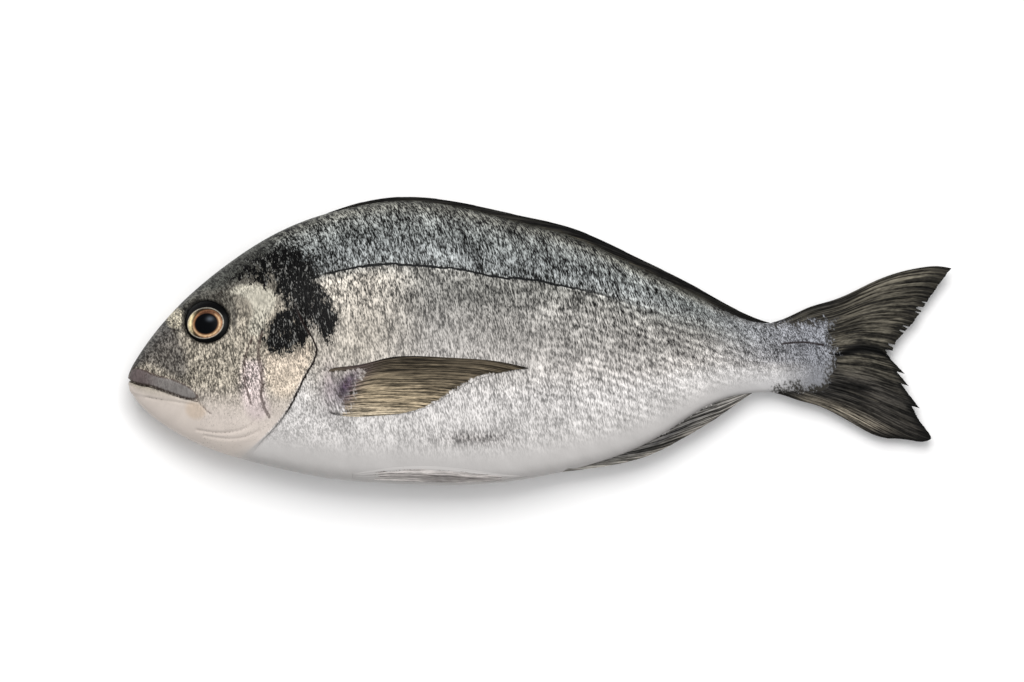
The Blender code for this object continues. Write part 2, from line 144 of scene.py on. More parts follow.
# the black blotch over the gill cover's top: strength, outline
blotches = (
    (0.68, ((-124, 25.4), (-111, 35.6), (-96, 38), (-88, 30), (-95, 22.6), (-101.2, 24.6), (-108.4, 22.6),
            (-117, 23))),
    (1.0, ((-103.2, 32.2), (-94, 32.4), (-89.4, 27.6), (-88.6, 22.6), (-84.6, 17), (-81.2, 9.4), (-82, 4.4),
           (-85.6, 0.6), (-88.8, 3), (-91.6, 7.8), (-94.8, 9.4), (-97.6, 14.6), (-101.8, 17.2),
           (-104.8, 23))),
    (0.92, ((-109.4, 4.2), (-106, 8.6), (-101.6, 14), (-97, 16), (-93.4, 9), (-91.6, 3.4), (-95, -0.8),
            (-101.2, -4.2), (-106.8, -3.6), (-110.4, 0.2))),
)
blotchRim = {"level": 0.55, "softness": 6.5}
# where the stalk's scales end on the tail fin
scaleEdge = ((60, 22), (90, 7.0), (104, 8.8), (110.4, 9.2), (114.8, 9.8), (118.2, 8.0), (116.8, 4.6),
             (118, -1), (118.8, -7), (116.8, -13.4), (114.4, -18), (109.2, -20.2), (103.2, -19.6),
             (92, -20.2), (60, -34))


def ease(value, low, high):
    # smooth step: t^2 (3 - 2t), with t the share of the way from low to high
    t = np.clip((value - low) / (high - low), 0, 1)
    return t * t * (3 - 2 * t)


def between(value, start, full, fade, end):
    # smooth step up from start to full, times one down from fade to end
    return ease(value, start, full) * (1 - ease(value, fade, end))


def hump(distance, width):
    # bell curve: e to the power of -(distance / width)^2
    return np.exp(-(distance / width) ** 2)


def bell(x, y, centre, reach):
    # round bell: e to the power of -(dx / reach)^2 - (dy / reach)^2 from the centre
    return hump(np.hypot((x - centre[0]) / reach[0], (y - centre[1]) / reach[1]), 1)


def blend(first, second, share):
    # first (1 - share) + second share at each point
    return first * (1 - share[..., None]) + second * share[..., None]


def linear(colour):
    # sRGB byte to linear light: ((c / 255 + 0.055) / 1.055)^2.4
    return ((np.asarray(colour, float) / 255 + 0.055) / 1.055) ** 2.4


def layer(base, colour, share):
    # lays a colour over the base, with the share kept between 0 and 1
    return blend(base, linear(colour), np.clip(share, 0, 1))


def plainTint(shape, colour):
    # one colour at every point
    return np.zeros(tuple(shape) + (3,)) + linear(colour)


def graded(share, stops):
    # straight-line mix between the colours at the stops
    rgb = linear([colour for _, colour in stops])
    return np.stack([np.interp(share, [place for place, _ in stops], rgb[:, k]) for k in range(3)], -1)


def curveThrough(knots, rooted=False):
    # natural cubic spline: on a gap h with second derivatives m and n at its ends, at distances b and a from
    # them, y = (m a^3 + n b^3) / 6h + (y0 / h - m h / 6) a + (y1 / h - n h / 6) b. Rooted runs it on the
    # square root of x.
    place = np.array([k[0] for k in knots], float)
    value = np.array([k[1] for k in knots], float)
    place = np.sqrt(place) if rooted else place
    gap = np.diff(place)
    slope = np.diff(value) / gap
    count = len(place)
    system = np.eye(count)
    right = np.zeros(count)
    for i in range(1, count - 1):
        system[i, i - 1:i + 2] = gap[i - 1], 2 * (gap[i - 1] + gap[i]), gap[i]
        right[i] = 6 * (slope[i] - slope[i - 1])
    bend = np.linalg.solve(system, right)

    def at(x):
        x = np.asarray(x, float)
        x = np.clip(np.sqrt(np.maximum(x, 0)) if rooted else x, place[0], place[-1])
        i = np.clip(np.searchsorted(place, x) - 1, 0, count - 2)
        a, b, h = place[i + 1] - x, x - place[i], gap[i]
        return ((bend[i] * a**3 + bend[i + 1] * b**3) / (6 * h)
                + (value[i] / h - bend[i] * h / 6) * a + (value[i + 1] / h - bend[i + 1] * h / 6) * b)

    return at


def pathThrough(points, count=60):
    # smooth curve through points in the plane: a spline of x and one of y, both on the chord length
    points = np.array(points, float)
    length = np.concatenate([[0], np.cumsum(np.linalg.norm(np.diff(points, axis=0), axis=1))])
    steps = np.linspace(0, length[-1], count)
    return np.stack([curveThrough(tuple(zip(length, points[:, k])))(steps) for k in (0, 1)], axis=-1)


def distanceTo(points, x, y):
    # least distance to the segments of the smooth curve, and the share of its length at which it is found
    path = pathThrough(points)
    return nearest(path, x, y)


def nearest(path, x, y):
    # least distance to a path's segments, and the share of its length there: on a segment d from a, the
    # nearest point to p is a + t d, with t = (p - a) . d / d . d kept between 0 and 1
    best = np.full(np.shape(x), 1e9)
    share = np.zeros(np.shape(x))
    for i in range(len(path) - 1):
        ax, ay = path[i]
        dx, dy = path[i + 1] - path[i]
        t = np.clip(((x - ax) * dx + (y - ay) * dy) / (dx * dx + dy * dy + 1e-12), 0, 1)
        distance = np.hypot(x - ax - t * dx, y - ay - t * dy)
        share = np.where(distance < best, (i + t) / (len(path) - 1), share)
        best = np.minimum(best, distance)
    return best, share


def regionDistance(outline, x, y):
    # distance to a smooth closed outline, below 0 inside it, where a ray to the right crosses it an odd
    # number of times
    path = pathThrough(tuple(outline) + (outline[0],), 70)
    distance = nearest(path, x, y)[0]
    odd = np.zeros(np.shape(x), bool)
    for (ax, ay), (bx, by) in zip(path[:-1], path[1:]):
        if ay != by:
            odd ^= ((ay > y) != (by > y)) & (x < ax + (y - ay) * (bx - ax) / (by - ay))
    return np.where(odd, -distance, distance)


backAt = curveThrough(body["backLine"], True)
bellyAt = curveThrough(body["bellyLine"], True)
widthAt = curveThrough(body["halfWidth"], True)
planeAt = curveThrough(body["middlePlane"])
gillAt = curveThrough(gill["edge"])
lateralAt = curveThrough(lateralLine)


def sectionOf(behind):
    # height of the ridge, of the keel, and of the widest line between them
    back, belly = backAt(behind), bellyAt(behind)
    return back, belly, belly + body["widestShare"] * (back - belly)


def skinPoint(behind, angle):
    # y = middle + reach cos(angle), z = plane +- width |sin(angle)|^power, left flank for angles under pi
    back, belly, middle = sectionOf(behind)
    upper = np.cos(angle) > 0
    y = middle + np.where(upper, back - middle, middle - belly) * np.cos(angle)
    power = np.where(upper, body["backPower"], body["bellyPower"])
    side = np.where(np.mod(angle, 2 * math.pi) <= math.pi, 1.0, -1.0)
    z = planeAt(behind) + side * widthAt(behind) * np.abs(np.sin(angle)) ** power
    return np.stack([body["snoutX"] + behind, y, z], axis=-1)


def coverShare(y):
    # 1 along the gill opening, fading to 0 at the nape and at the throat
    upper = np.clip((gill["top"] - y) / gill["topFade"], 0, 1)
    return upper * np.clip((y - gill["bottom"]) / gill["bottomFade"], 0, 1)


def sinkAt(ahead, y):
    # the shoulder sinks by e to the power of the way behind the gill cover over a length
    return gill["sink"] * np.exp(np.minimum(ahead, 0) / gill["sinkLength"]) * coverShare(y)


def skinHeight(x, y, side):
    # z of the flank over a place in side view: the section's angle is acos((y - middle) / reach)
    behind = x - body["snoutX"]
    back, belly, middle = sectionOf(behind)
    reach = np.where(y > middle, back - middle, middle - belly)
    angle = np.arccos(np.clip((y - middle) / reach, -0.999, 0.999))
    point = skinPoint(behind, angle if side > 0 else 2 * math.pi - angle)
    return point[..., 2] - side * sinkAt(gillAt(y) - behind, y)


def gridNormals(points):
    # cross product of the differences along the two grid directions; the second direction is closed
    along = np.gradient(points, axis=0)
    around = (np.roll(points, -1, axis=1) - np.roll(points, 1, axis=1)) / 2
    normal = np.cross(around, along)
    size = np.linalg.norm(normal, axis=-1, keepdims=True)
    return normal / np.maximum(size, 1e-9)


def makePiece(name, points, quads, triangles, attributes, material):
    # turns the faces outwards when the enclosed volume, the sum of p0 . (p1 x p2) / 6, comes out negative
    corners = np.concatenate([points[quads[:, (0, 1, 2)]], points[quads[:, (0, 2, 3)]], points[triangles]])
    if np.einsum("ij,ij->i", corners[:, 0], np.cross(corners[:, 1], corners[:, 2])).sum() < 0:
        quads, triangles = quads[:, ::-1], triangles[:, ::-1]
    mesh = bpy.data.meshes.new(name)
    mesh.vertices.add(len(points))
    mesh.vertices.foreach_set("co", (points * mm).astype(np.float32).ravel())
    loops = np.concatenate([quads.ravel(), triangles.ravel()]).astype(np.int32)
    sizes = np.concatenate([np.full(len(quads), 4), np.full(len(triangles), 3)]).astype(np.int32)
    mesh.loops.add(len(loops))
    mesh.loops.foreach_set("vertex_index", loops)
    mesh.polygons.add(len(sizes))
    starts = np.concatenate([[0], np.cumsum(sizes)[:-1]]).astype(np.int32)
    mesh.polygons.foreach_set("loop_start", starts)
    mesh.polygons.foreach_set("loop_total", sizes)
    mesh.update(calc_edges=True)
    mesh.polygons.foreach_set("use_smooth", np.ones(len(sizes), bool))
    for key, values in attributes.items():
        kind, field = ("FLOAT_VECTOR", "vector") if values.ndim == 2 else ("FLOAT", "value")
        made = mesh.attributes.new(key, kind, "POINT")
        made.data.foreach_set(field, values.astype(np.float32).ravel())
    piece = bpy.data.objects.new(name, mesh)
    bpy.context.scene.collection.objects.link(piece)
    mesh.materials.append(material)
    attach(piece, "root")
    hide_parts("sea_bream")
    print(name, len(quads) * 2 + len(triangles), "triangles")


def ringFaces(columns, rows):
    # quads between the rings of a closed tube, and a fan to a pole at each end: the last two points
    c, r = np.meshgrid(np.arange(columns - 1), np.arange(rows), indexing="ij")
    after = (r + 1) % rows
    quads = np.stack([c * rows + r, c * rows + after, (c + 1) * rows + after, (c + 1) * rows + r], -1)
    r = np.arange(rows)
    after = (r + 1) % rows
    end = (columns - 1) * rows
    first = np.stack([np.full(rows, columns * rows), after, r], -1)
    last = np.stack([np.full(rows, columns * rows + 1), end + r, end + after], -1)
    return quads.reshape(-1, 4), np.concatenate([first, last])


def shellFaces(columns, rows):
    # quads of an outer and of an inner sheet, and a band that joins their rims
    c, r = np.meshgrid(np.arange(columns - 1), np.arange(rows - 1), indexing="ij")
    outer = np.stack([c * rows + r, c * rows + r + 1, (c + 1) * rows + r + 1, (c + 1) * rows + r], -1)
    outer = outer.reshape(-1, 4)
    inner = outer[:, ::-1] + columns * rows
    far = (columns - 1) * rows + np.arange(rows - 2, -1, -1)
    rim = np.concatenate([np.arange(rows), np.arange(1, columns) * rows + rows - 1, far,
                          np.arange(columns - 2, 0, -1) * rows])
    after = np.roll(rim, -1)
    band = np.stack([after, rim, rim + columns * rows, after + columns * rows], -1)
    return np.concatenate([outer, inner, band])


def listed(values):
    # a grid of numbers or of vectors as a plain list of them
    return values.reshape(values.shape[0] * values.shape[1], *values.shape[2:])


def makeShell(name, outer, inner, attributes, material):
    # both sheets take the same attributes
    both = {key: np.concatenate([listed(values)] * 2) for key, values in attributes.items()}
    points = np.concatenate([listed(outer), listed(inner)])
    makePiece(name, points, shellFaces(*outer.shape[:2]), np.zeros((0, 3), int), both, material)


def makeRings(name, points, poles, attributes, material, least=-math.inf):
    # a pole takes the mean of its end ring's attributes
    whole = {}
    for key, values in attributes.items():
        whole[key] = np.concatenate([listed(values), [values[0].mean(0), values[-1].mean(0)]])
    quads, triangles = ringFaces(*points.shape[:2])
    points = np.concatenate([listed(points), poles])
    points[:, 2] = np.maximum(points[:, 2], least)
    makePiece(name, points, quads, triangles, whole, material)


# noises: waves a millimetre along each axis, shift, octaves, roughness, distortion
noises = {
    "stroke": ((1.65, 0.38, 0.5), (0, 0, 0), 1.5, 0.55, 0.0),
    "grit": ((2.3, 1.7, 1.2), (6, 1, 3), 1.5, 0.6, 0.0),
    "hair": ((3.0, 0.85, 0.9), (4, 4, 4), 1.0, 0.5, 0.0),
    "clump": ((0.42, 0.16, 0.2), (2, 8, 1), 1.0, 0.5, 0.0),
    "cloud": ((0.11, 0.09, 0.1), (9, 4, 2), 3.0, 0.6, 0.0),
    "lump": ((0.30, 0.22, 0.3), (3, 3, 9), 2.0, 0.6, 0.0),
    "fleck": ((1.3, 0.8, 0.8), (5, 5, 5), 4.0, 0.65, 0.0),
    "rough": ((0.36, 0.26, 0.3), (1, 7, 3), 5.0, 0.7, 0.0),
    "fold": ((0.75, 0.2, 0.3), (3, 2, 8), 3.0, 0.65, 1.2),
    "wobble": ((0.35, 0.35, 0.3), (0, 0, 0), 3.0, 0.5, 0.0),
    "rayFine": ((2.2, 0.05, 0.3), (0, 0, 0), 2.0, 0.6, 0.0),
    "rayBroad": ((0.5, 0.06, 0.3), (4, 4, 4), 2.0, 0.6, 0.0),
    "rayDots": ((3.2, 0.4, 0.3), (2, 8, 1), 2.0, 0.6, 0.0),
    "iris": ((0.8, 0.8, 0.5), (0, 0, 0), 3.0, 0.6, 0.0),
}


class Shader:
    # short calls that add one node each and hand back its output
    def __init__(self, name, roughness, specular):
        self.material = bpy.data.materials.new(name)
        self.material.use_nodes = True
        self.tree = self.material.node_tree
        self.surface = self.tree.nodes["Principled BSDF"]
        self.surface.inputs["Roughness"].default_value = roughness
        self.surface.inputs["Specular IOR Level"].default_value = specular

    def give(self, socket, value):
        if isinstance(value, bpy.types.NodeSocket):
            self.tree.links.new(value, socket)
        else:
            socket.default_value = value

    def attribute(self, name, output="Fac"):
        node = self.tree.nodes.new("ShaderNodeAttribute")
        node.attribute_name = name
        return node.outputs[output]

    def math(self, operation, a, b=0.0):
        node = self.tree.nodes.new("ShaderNodeMath")
        node.operation = operation
        self.give(node.inputs[0], a)
        self.give(node.inputs[1], b)
        return node.outputs[0]

    def plus(self, *terms):
        total = terms[0]
        for term in terms[1:]:
            total = self.math("ADD", total, term)
        return total

    def times(self, a, b):
        return self.math("MULTIPLY", a, b)

    def less(self, a, b):
        return self.math("SUBTRACT", a, b)

    def swing(self, value, gain):
        # gain (value - 0.5)
        return self.times(self.less(value, 0.5), gain)

    def step(self, value, span):
        node = self.tree.nodes.new("ShaderNodeMapRange")
        node.interpolation_type = "SMOOTHSTEP"
        for socket, given in zip(node.inputs, (value, *span, 0.0, 1.0)):
            self.give(socket, given)
        return node.outputs[0]

    def noise(self, name, vector):
        scale, shift, *settings = noises[name]
        stretch = self.tree.nodes.new("ShaderNodeVectorMath")
        stretch.operation = "MULTIPLY_ADD"
        for socket, value in zip(stretch.inputs, (vector, scale, shift)):
            self.give(socket, value)
        node = self.tree.nodes.new("ShaderNodeTexNoise")
        self.give(node.inputs["Vector"], stretch.outputs[0])
        node.inputs["Scale"].default_value = 1.0
        for key, value in zip(("Detail", "Roughness", "Distortion"), settings):
            node.inputs[key].default_value = value
        return node.outputs["Fac"]

    def mix(self, share, a, b):
        node = self.tree.nodes.new("ShaderNodeMix")
        node.data_type = "RGBA"
        self.give(node.inputs[0], share)
        for socket, value in zip((node.inputs[6], node.inputs[7]), (a, b)):
            if not isinstance(value, bpy.types.NodeSocket):
                value = (*linear(value), 1)
            self.give(socket, value)
        return node.outputs[2]

    def scale(self, colour, gain):
        node = self.tree.nodes.new("ShaderNodeVectorMath")
        node.operation = "SCALE"
        self.give(node.inputs[0], colour)
        self.give(node.inputs["Scale"], gain)
        return node.outputs[0]

    def bump(self, height, strength):
        node = self.tree.nodes.new("ShaderNodeBump")
        node.inputs["Strength"].default_value = strength
        node.inputs["Distance"].default_value = 0.3 * mm
        self.give(node.inputs["Height"], height)
        self.give(self.surface.inputs["Normal"], node.outputs[0])


grain = {
    "stroke": 0.65, "hair": 0.62, "clump": 0.26,      # weights of the noises in a stroke
    "sharp": 0.2,             # half of the noise range that runs from a dark stroke to a light one
    "lightShift": 0.015,      # leaves only the darkest strokes on the pale flank
    "lightMean": 0.06,
    "cloud": (0.1, 0.8),      # strength of the clouds where there are no strokes, and added by full ones
    "rowWaves": 1.9,          # radians a millimetre across the rows of scales
    "rowWander": 16.0,
    "power": 2.2,             # makes the steps even to the eye
    "least": 0.05,
}
# thresholds as the low and high end of a smooth step, weights of noises, colours
marks = {
    "speckGain": 0.24, "speckSpan": (0.56, 0.76), "speckShare": 0.6, "speckColour": (52, 47, 42),
    "raggedFleck": 1.5, "raggedLump": 1.1, "raggedSpan": (0.28, 0.72), "raggedGate": (0.0, 0.15),
    "finColour": (50, 48, 44),        # the scaly stalk ends in the tail fin's colour
    "blotchRough": 2.4, "blotchBroad": 1.6, "blotchSpan": (0.36, 0.62), "blotchGate": (0.02, 0.16),
    "glintGain": 1.2, "glintHair": 0.9, "glintSpan": (0.69, 0.88),
    "blackAndGlintColours": ((2, 1, 2), (116, 116, 113)),      # black folds in the blotch, with pale hairs that are painted glints
    "wobble": 1.8, "lateralSpan": (0.28, 0.72), "lateralColour": (12, 13, 15),
    # painted shade: the crease, slit and gill colours darken the grooves, the mouth, the nostrils and the
    # gill slit; the gill line is also the membrane's own dark colour
    "creaseRagged": 1.4, "creaseSpan": (0.1, 0.62), "creaseShare": 0.72, "creaseColour": (66, 52, 48),
    "slitSpan": (0.1, 0.38), "slitShare": 0.9, "slitColour": (30, 22, 22),
    "gillRagged": 0.6, "gillSpan": (0.15, 0.6), "gillColour": (32, 24, 23),
    "bumpHair": 0.5, "bumpLeast": 0.08, "bump": 0.4,
}


def strokes(s, place, light, grit):
    # weighted sum of noises, brought between 0 (dark stroke) and 1 (light stroke) by a smooth step; grit
    # turns the long strokes into short grains. The strokes are the scales' own grain together with painted
    # shade of their relief and painted glints
    stroke = s.noise("stroke", place)
    stroke = s.plus(stroke, s.times(s.less(s.noise("grit", place), stroke), grit))
    hair = s.noise("hair", place)
    total = s.plus(s.swing(stroke, grain["stroke"]), s.swing(hair, grain["hair"]),
                   s.swing(s.noise("clump", place), grain["clump"]), s.times(light, grain["lightShift"]))
    return s.step(total, (-grain["sharp"], grain["sharp"])), stroke, hair


def shaded(s, tint, level):
    # tint x level^2.2
    return s.scale(tint, s.math("POWER", s.math("MAXIMUM", level, grain["least"]), grain["power"]))


def dissolve(s, place, share, fleck):
    # a share becomes a ragged border: smooth step of the share plus a fine and a coarse noise, none where it
    # is 0
    total = s.plus(share, s.swing(fleck, marks["raggedFleck"]),
                   s.swing(s.noise("lump", place), marks["raggedLump"]))
    return s.times(s.step(total, marks["raggedSpan"]), s.step(share, marks["raggedGate"]))


def skinMaterial():
    # colour = tint x (1 + streak (strokes - mean) + clouds + rows)^2.2, the strokes partly painted shade and
    # glints of the scales; then dark specks, the blotch with its painted glints, and the lines, the creases,
    # slits and gill slit partly painted shade, each where a noise and an attribute pass a threshold
    s = Shader("skin", 0.4, 0.07)
    place, streak, light = s.attribute("place", "Vector"), s.attribute("streak"), s.attribute("light")
    stroke, broad, hair = strokes(s, place, light, s.attribute("grit"))
    level = s.times(s.less(stroke, s.plus(s.times(light, grain["lightMean"]), 0.5)), streak)
    cloud = s.noise("cloud", place)
    clouds = s.swing(cloud, s.plus(s.times(streak, grain["cloud"][1]), grain["cloud"][0]))
    lateral = s.attribute("lateral")
    row = s.plus(s.times(lateral, grain["rowWaves"]), s.times(cloud, grain["rowWander"]))
    rows = s.times(s.math("SINE", row), s.attribute("band"))
    colour = shaded(s, s.attribute("tint", "Vector"), s.plus(level, clouds, rows, 1.0))

    fleck = s.noise("fleck", place)
    speck = s.step(s.plus(fleck, s.times(s.attribute("speck"), marks["speckGain"])), marks["speckSpan"])
    colour = s.mix(s.times(speck, marks["speckShare"]), colour, marks["speckColour"])
    colour = s.mix(dissolve(s, place, s.attribute("away"), fleck), colour, marks["finColour"])

    blotch = s.attribute("blotch")
    total = s.plus(blotch, s.swing(s.noise("rough", place), marks["blotchRough"]),
                   s.swing(broad, marks["blotchBroad"]))
    # painted glints: pale hairs along the blotch's dark folds stand for light glinting off them
    fold = s.plus(s.times(s.noise("fold", place), marks["glintGain"]), s.swing(hair, marks["glintHair"]))
    blotchWithGlints = s.mix(s.step(fold, marks["glintSpan"]), *marks["blackAndGlintColours"])
    share = s.times(s.step(total, marks["blotchSpan"]), s.step(blotch, marks["blotchGate"]))
    colour = s.mix(share, colour, blotchWithGlints)

    # a line is full where the distance to it is under its span's first end. The lateral line is the skin's
    # own mark; the creases and slits are painted shade in the grooves, the mouth and the nostrils; the gill
    # line is the membrane's dark colour with painted shade of the gill slit
    ragged = s.swing(broad, marks["creaseRagged"])
    wobble = s.swing(s.noise("wobble", place), marks["wobble"])
    gillRagged = s.times(ragged, marks["gillRagged"])
    for key, distance, share in (
            ("lateral", s.math("ABSOLUTE", s.plus(lateral, wobble)), s.attribute("lateralShare")),
            ("crease", s.plus(s.attribute("crease"), ragged), marks["creaseShare"]),
            ("slit", s.attribute("slit"), marks["slitShare"]),
            ("gill", s.plus(s.math("ABSOLUTE", s.attribute("gillLine")), gillRagged),
             s.attribute("gillShare"))):
        line = s.less(1.0, s.step(distance, marks[key + "Span"]))
        colour = s.mix(s.times(line, share), colour, marks[key + "Colour"])

    s.give(s.surface.inputs["Base Color"], colour)
    height = s.plus(broad, s.times(hair, marks["bumpHair"]))
    s.bump(s.times(height, s.plus(streak, marks["bumpLeast"])), marks["bump"])
    return s.material


rayLook = {
    "fineSpan": (0.38, 0.62), "broad": 0.9, "dots": 1.5,      # weights of the noises drawn out along the rays
    "loose": 2.4,             # how far the ridges' colour strays from the ridges
    "lightSpan": (0.9, 1.5), "lightShare": 0.3, "darkSpan": (0.7, 1.05), "darkShare": 0.7,
    "bumpRidge": 0.6, "bump": 0.5,
}


def finMaterial(name, look):
    # colour = tint x (1 + contrast (noise drawn out along the rays - 0.5))^2.2, lighter on the rays, darker
    # between them and at a torn edge, and the skin's own colour where skinShare plus noise passes a half
    s = Shader(name, 0.45, 0.05)
    ray = s.attribute("ray", "Vector")       # across in rays, along in mm
    fine, broad = s.noise("rayFine", ray), s.noise("rayBroad", ray)
    wave = s.plus(s.less(s.step(fine, rayLook["fineSpan"]), 0.5), s.swing(broad, rayLook["broad"]),
                  s.swing(s.noise("rayDots", ray), rayLook["dots"]))
    colour = shaded(s, s.attribute("tint", "Vector"), s.plus(s.times(wave, look["contrast"]), 1.0))
    ridge = s.attribute("ridge")
    loose = s.plus(ridge, s.swing(broad, rayLook["loose"]))
    for key, value in (("light", loose), ("dark", s.less(1.0, loose))):
        share = s.times(s.step(value, rayLook[key + "Span"]), rayLook[key + "Share"])
        colour = s.mix(share, colour, look[key + "Ray"])
    if "torn" in look:
        colour = s.mix(s.attribute("edge"), colour, look["torn"])

    place = s.attribute("place", "Vector")
    stroke = strokes(s, place, 0.0, s.attribute("grit"))[0]
    level = s.plus(s.swing(stroke, s.attribute("skinStreak")), 1.0)
    flesh = shaded(s, s.attribute("skinTint", "Vector"), level)
    share = dissolve(s, place, s.attribute("skinShare"), s.noise("fleck", place))
    s.give(s.surface.inputs["Base Color"], s.mix(share, colour, flesh))
    s.bump(s.plus(fine, s.times(ridge, rayLook["bumpRidge"])), rayLook["bump"])
    return s.material


def eyeMaterial():
    # colour = tint x e^(streak (noise - 0.5))
    s = Shader("eye", 0.3, 0.05)
    mottle = s.swing(s.noise("iris", s.attribute("place", "Vector")), s.attribute("streak"))
    colour = s.scale(s.attribute("tint", "Vector"), s.math("EXPONENT", mottle))
    s.give(s.surface.inputs["Base Color"], colour)
    return s.material


headRelief = {
    "cheek": (-121, -12), "cheekReach": (9.5, 10), "cheekHeight": 0.55,
    "plateHeight": 0.75, "plateRim": 0.3, "lipHeight": 0.5,
    "grooveFade": (0.9, 1.0),
    "socketSpan": (0.86, 1.03), "browRadius": 1.16, "browWidth": 0.12, "browHeight": 0.5,
}


def eyeRadius(x, y):
    # 1 on the eye's rim
    return np.hypot((x - eye["centre"][0]) / eye["outer"][0], (y - eye["centre"][1]) / eye["outer"][1])


def reliefOfHead(x, y):
    # sum of plates, bells and grooves, each a function of the distance to a point or a line
    look = headRelief
    ahead = gillAt(y) - (x - body["snoutX"])
    relief = gill["raise"] * np.exp(-np.maximum(ahead, 0) / gill["raiseLength"]) * coverShare(y)
    relief += look["cheekHeight"] * bell(x, y, look["cheek"], look["cheekReach"])
    for groove in grooves.values():
        distance, share = distanceTo(groove["path"], x, y)
        left = 1 - groove["fade"] * ease(share, *look["grooveFade"])
        relief -= groove["depth"] * hump(distance, groove["width"]) * left
    plate = regionDistance(jawPlate, x, y)
    relief += look["plateHeight"] * (1 - ease(plate, -0.9, 0.3)) * ease(x, -166, -158)
    relief -= look["plateRim"] * hump(plate - 0.4, 0.5)
    distance, share = distanceTo(lowerLip, x, y)
    relief += look["lipHeight"] * (1 - ease(distance, 0.7, 2.3)) * (1 - ease(share, 0.6, 1) * 0.7)
    radius = eyeRadius(x, y)
    relief -= eye["socket"] * (1 - ease(radius, *look["socketSpan"]))
    relief += look["browHeight"] * hump(radius - look["browRadius"], look["browWidth"])
    away = np.hypot(x - nostril["rear"][0], y - nostril["rear"][1])
    relief += nostril["rimHeight"] * hump(away - nostril["rimRadius"], nostril["rimWidth"])
    for key in ("rear", "front"):
        relief -= nostril[key + "Depth"] * bell(x, y, nostril[key], nostril[key + "Reach"])
    return relief


skinLook = {
    "gain": 0.80,             # every colour below is scaled by this, as the studio is bright
    # colours over the lateral line: share of the way from the ridge down to it, colour
    "above": ((0, (60, 60, 56)), (0.1, (92, 92, 87)), (0.25, (102, 104, 102)), (0.45, (96, 99, 98)),
              (0.7, (100, 103, 103)), (1, (108, 111, 111))),
    # and under it: share of the way down to the belly's keel, colour
    "below": ((0, (140, 139, 134)), (0.12, (138, 136, 132)), (0.3, (157, 154, 150)), (0.45, (190, 186, 182)),
              (0.6, (210, 207, 205)), (0.8, (214, 211, 209)), (1, (216, 213, 211))),
    "rearShine": 0.3,         # lightens the back towards the tail
    "shoulder": (186, 179, 168), "cloud": (108, 108, 104), "stalk": (136, 137, 143),
    "stalkLow": (208, 207, 208), "tailBase": (124, 126, 132), "forehead": (82, 82, 78),
    # painted shade in the eye's socket
    "socket": (26, 26, 24),
    "face": (171, 163, 149), "faceLow": (226, 215, 206), "plateFront": (104, 92, 92),
    "plateRear": (128, 124, 122), "purple": (112, 92, 108), "smudge": (112, 105, 102),
    # painted shade towards the keel
    "keelShade": (120, 116, 114),
    # centre and reach of the round marks
    "cloudAt": ((-20, 20), (34, 6.5)), "purpleAt": ((-84, -18), (3.5, 9)),
    "smudgeAt": ((-26, -38.6), (13, 2.4)),
}


def shareOfHead(behind, y):
    # 1 on the head, falling over a hair at the gill cover's edge and over 14 mm at nape and throat
    edge, cover = gillAt(y), coverShare(y)
    return 1 - ease(behind, edge - 1.2, edge + 0.6) * cover - ease(behind, edge - 9, edge + 5) * (1 - cover)


def tintOfFlank(x, y, depth, back, belly):
    # colour by the share of the way from ridge to lateral line, or from it to the keel, then marks over it
    # and painted shade along the keel
    look = skinLook
    line = np.minimum(lateralAt(x), back - 3)
    over = y - line
    rear, stalk = ease(x, 0, 60), ease(x, 60, 100)
    above = graded(np.clip((back - y) / np.maximum(back - line, 1), 0, 1), look["above"])
    above *= 1 + look["rearShine"] * (ease(x, 0, 40) * (1 - ease(back - y, 14, 24)))[..., None]
    below = graded(np.clip((line - y) / np.maximum(line - belly, 1), 0, 1), look["below"])
    shoulder = between(x, -100, -88, -72, -40) * ease(-over, -1, 6) * (1 - ease(depth, 0.5, 0.8))
    below = layer(below, look["shoulder"], 0.9 * shoulder)
    below = layer(below, look["cloud"], 0.6 * bell(x, y, *look["cloudAt"]))
    tint = blend(below, above, ease(over, -0.8, 0.8) * (1 - rear) + ease(over, -7, 7) * rear)
    for key, share in (("stalk", 0.75 * stalk * (1 - ease(depth, 0.5, 0.8))),
                       ("stalkLow", 0.8 * stalk * ease(depth, 0.55, 0.85)),
                       ("tailBase", 0.9 * ease(x, 92, 112)),
                       ("purple", 0.5 * bell(x, y, *look["purpleAt"])),
                       ("smudge", 0.5 * bell(x, y, *look["smudgeAt"])),
                       # painted shade: the belly greys towards the keel, where it turns away from the light
                       ("keelShade", 0.3 * ease(depth, 0.94, 1.0))):
        tint = layer(tint, look[key], share)
    return tint


def tintOfSkin(x, y, behind):
    # the flank's and the face's colours, joined at the gill cover's edge
    look = skinLook
    back, belly, _ = sectionOf(behind)
    depth = np.clip((back - y) / np.maximum(back - belly, 1), 0, 1)
    face = layer(plainTint(x.shape, look["forehead"]), look["face"], ease(depth, 0.06, 0.34))
    face = layer(face, look["faceLow"], ease(depth, 0.6, 0.82))
    for colour, strength, soft, outline in patches:
        face = layer(face, colour, strength * (1 - ease(regionDistance(outline, x, y), -soft, soft)))
    # painted shade: the skin darkens in a ring round the eye, standing for the shade in its socket
    face = layer(face, look["socket"], 0.85 * (1 - ease(eyeRadius(x, y), 1.0, 1.13)))
    inPlate = 1 - ease(regionDistance(jawPlate, x, y), -0.3, 0.3)
    face = layer(face, look["plateRear"], 0.95 * inPlate)
    face = layer(face, look["plateFront"], 0.9 * inPlate * (1 - ease(x, -160, -150)))
    onHead = shareOfHead(behind, y)
    tint = blend(tintOfFlank(x, y, depth, back, belly), face, onHead)
    return tint * look["gain"], depth, onHead, inPlate


def gritShare(x):
    # long strokes in front, short grains on the stalk
    return 0.9 * ease(x, 20, 85)


def awayFromScales(x, y):
    # 0 on the scaly stalk, rising to 1 over its edge on the tail fin
    return ease(regionDistance(scaleEdge, x, y), -8.0, 4.5) * ease(x, 88, 98)


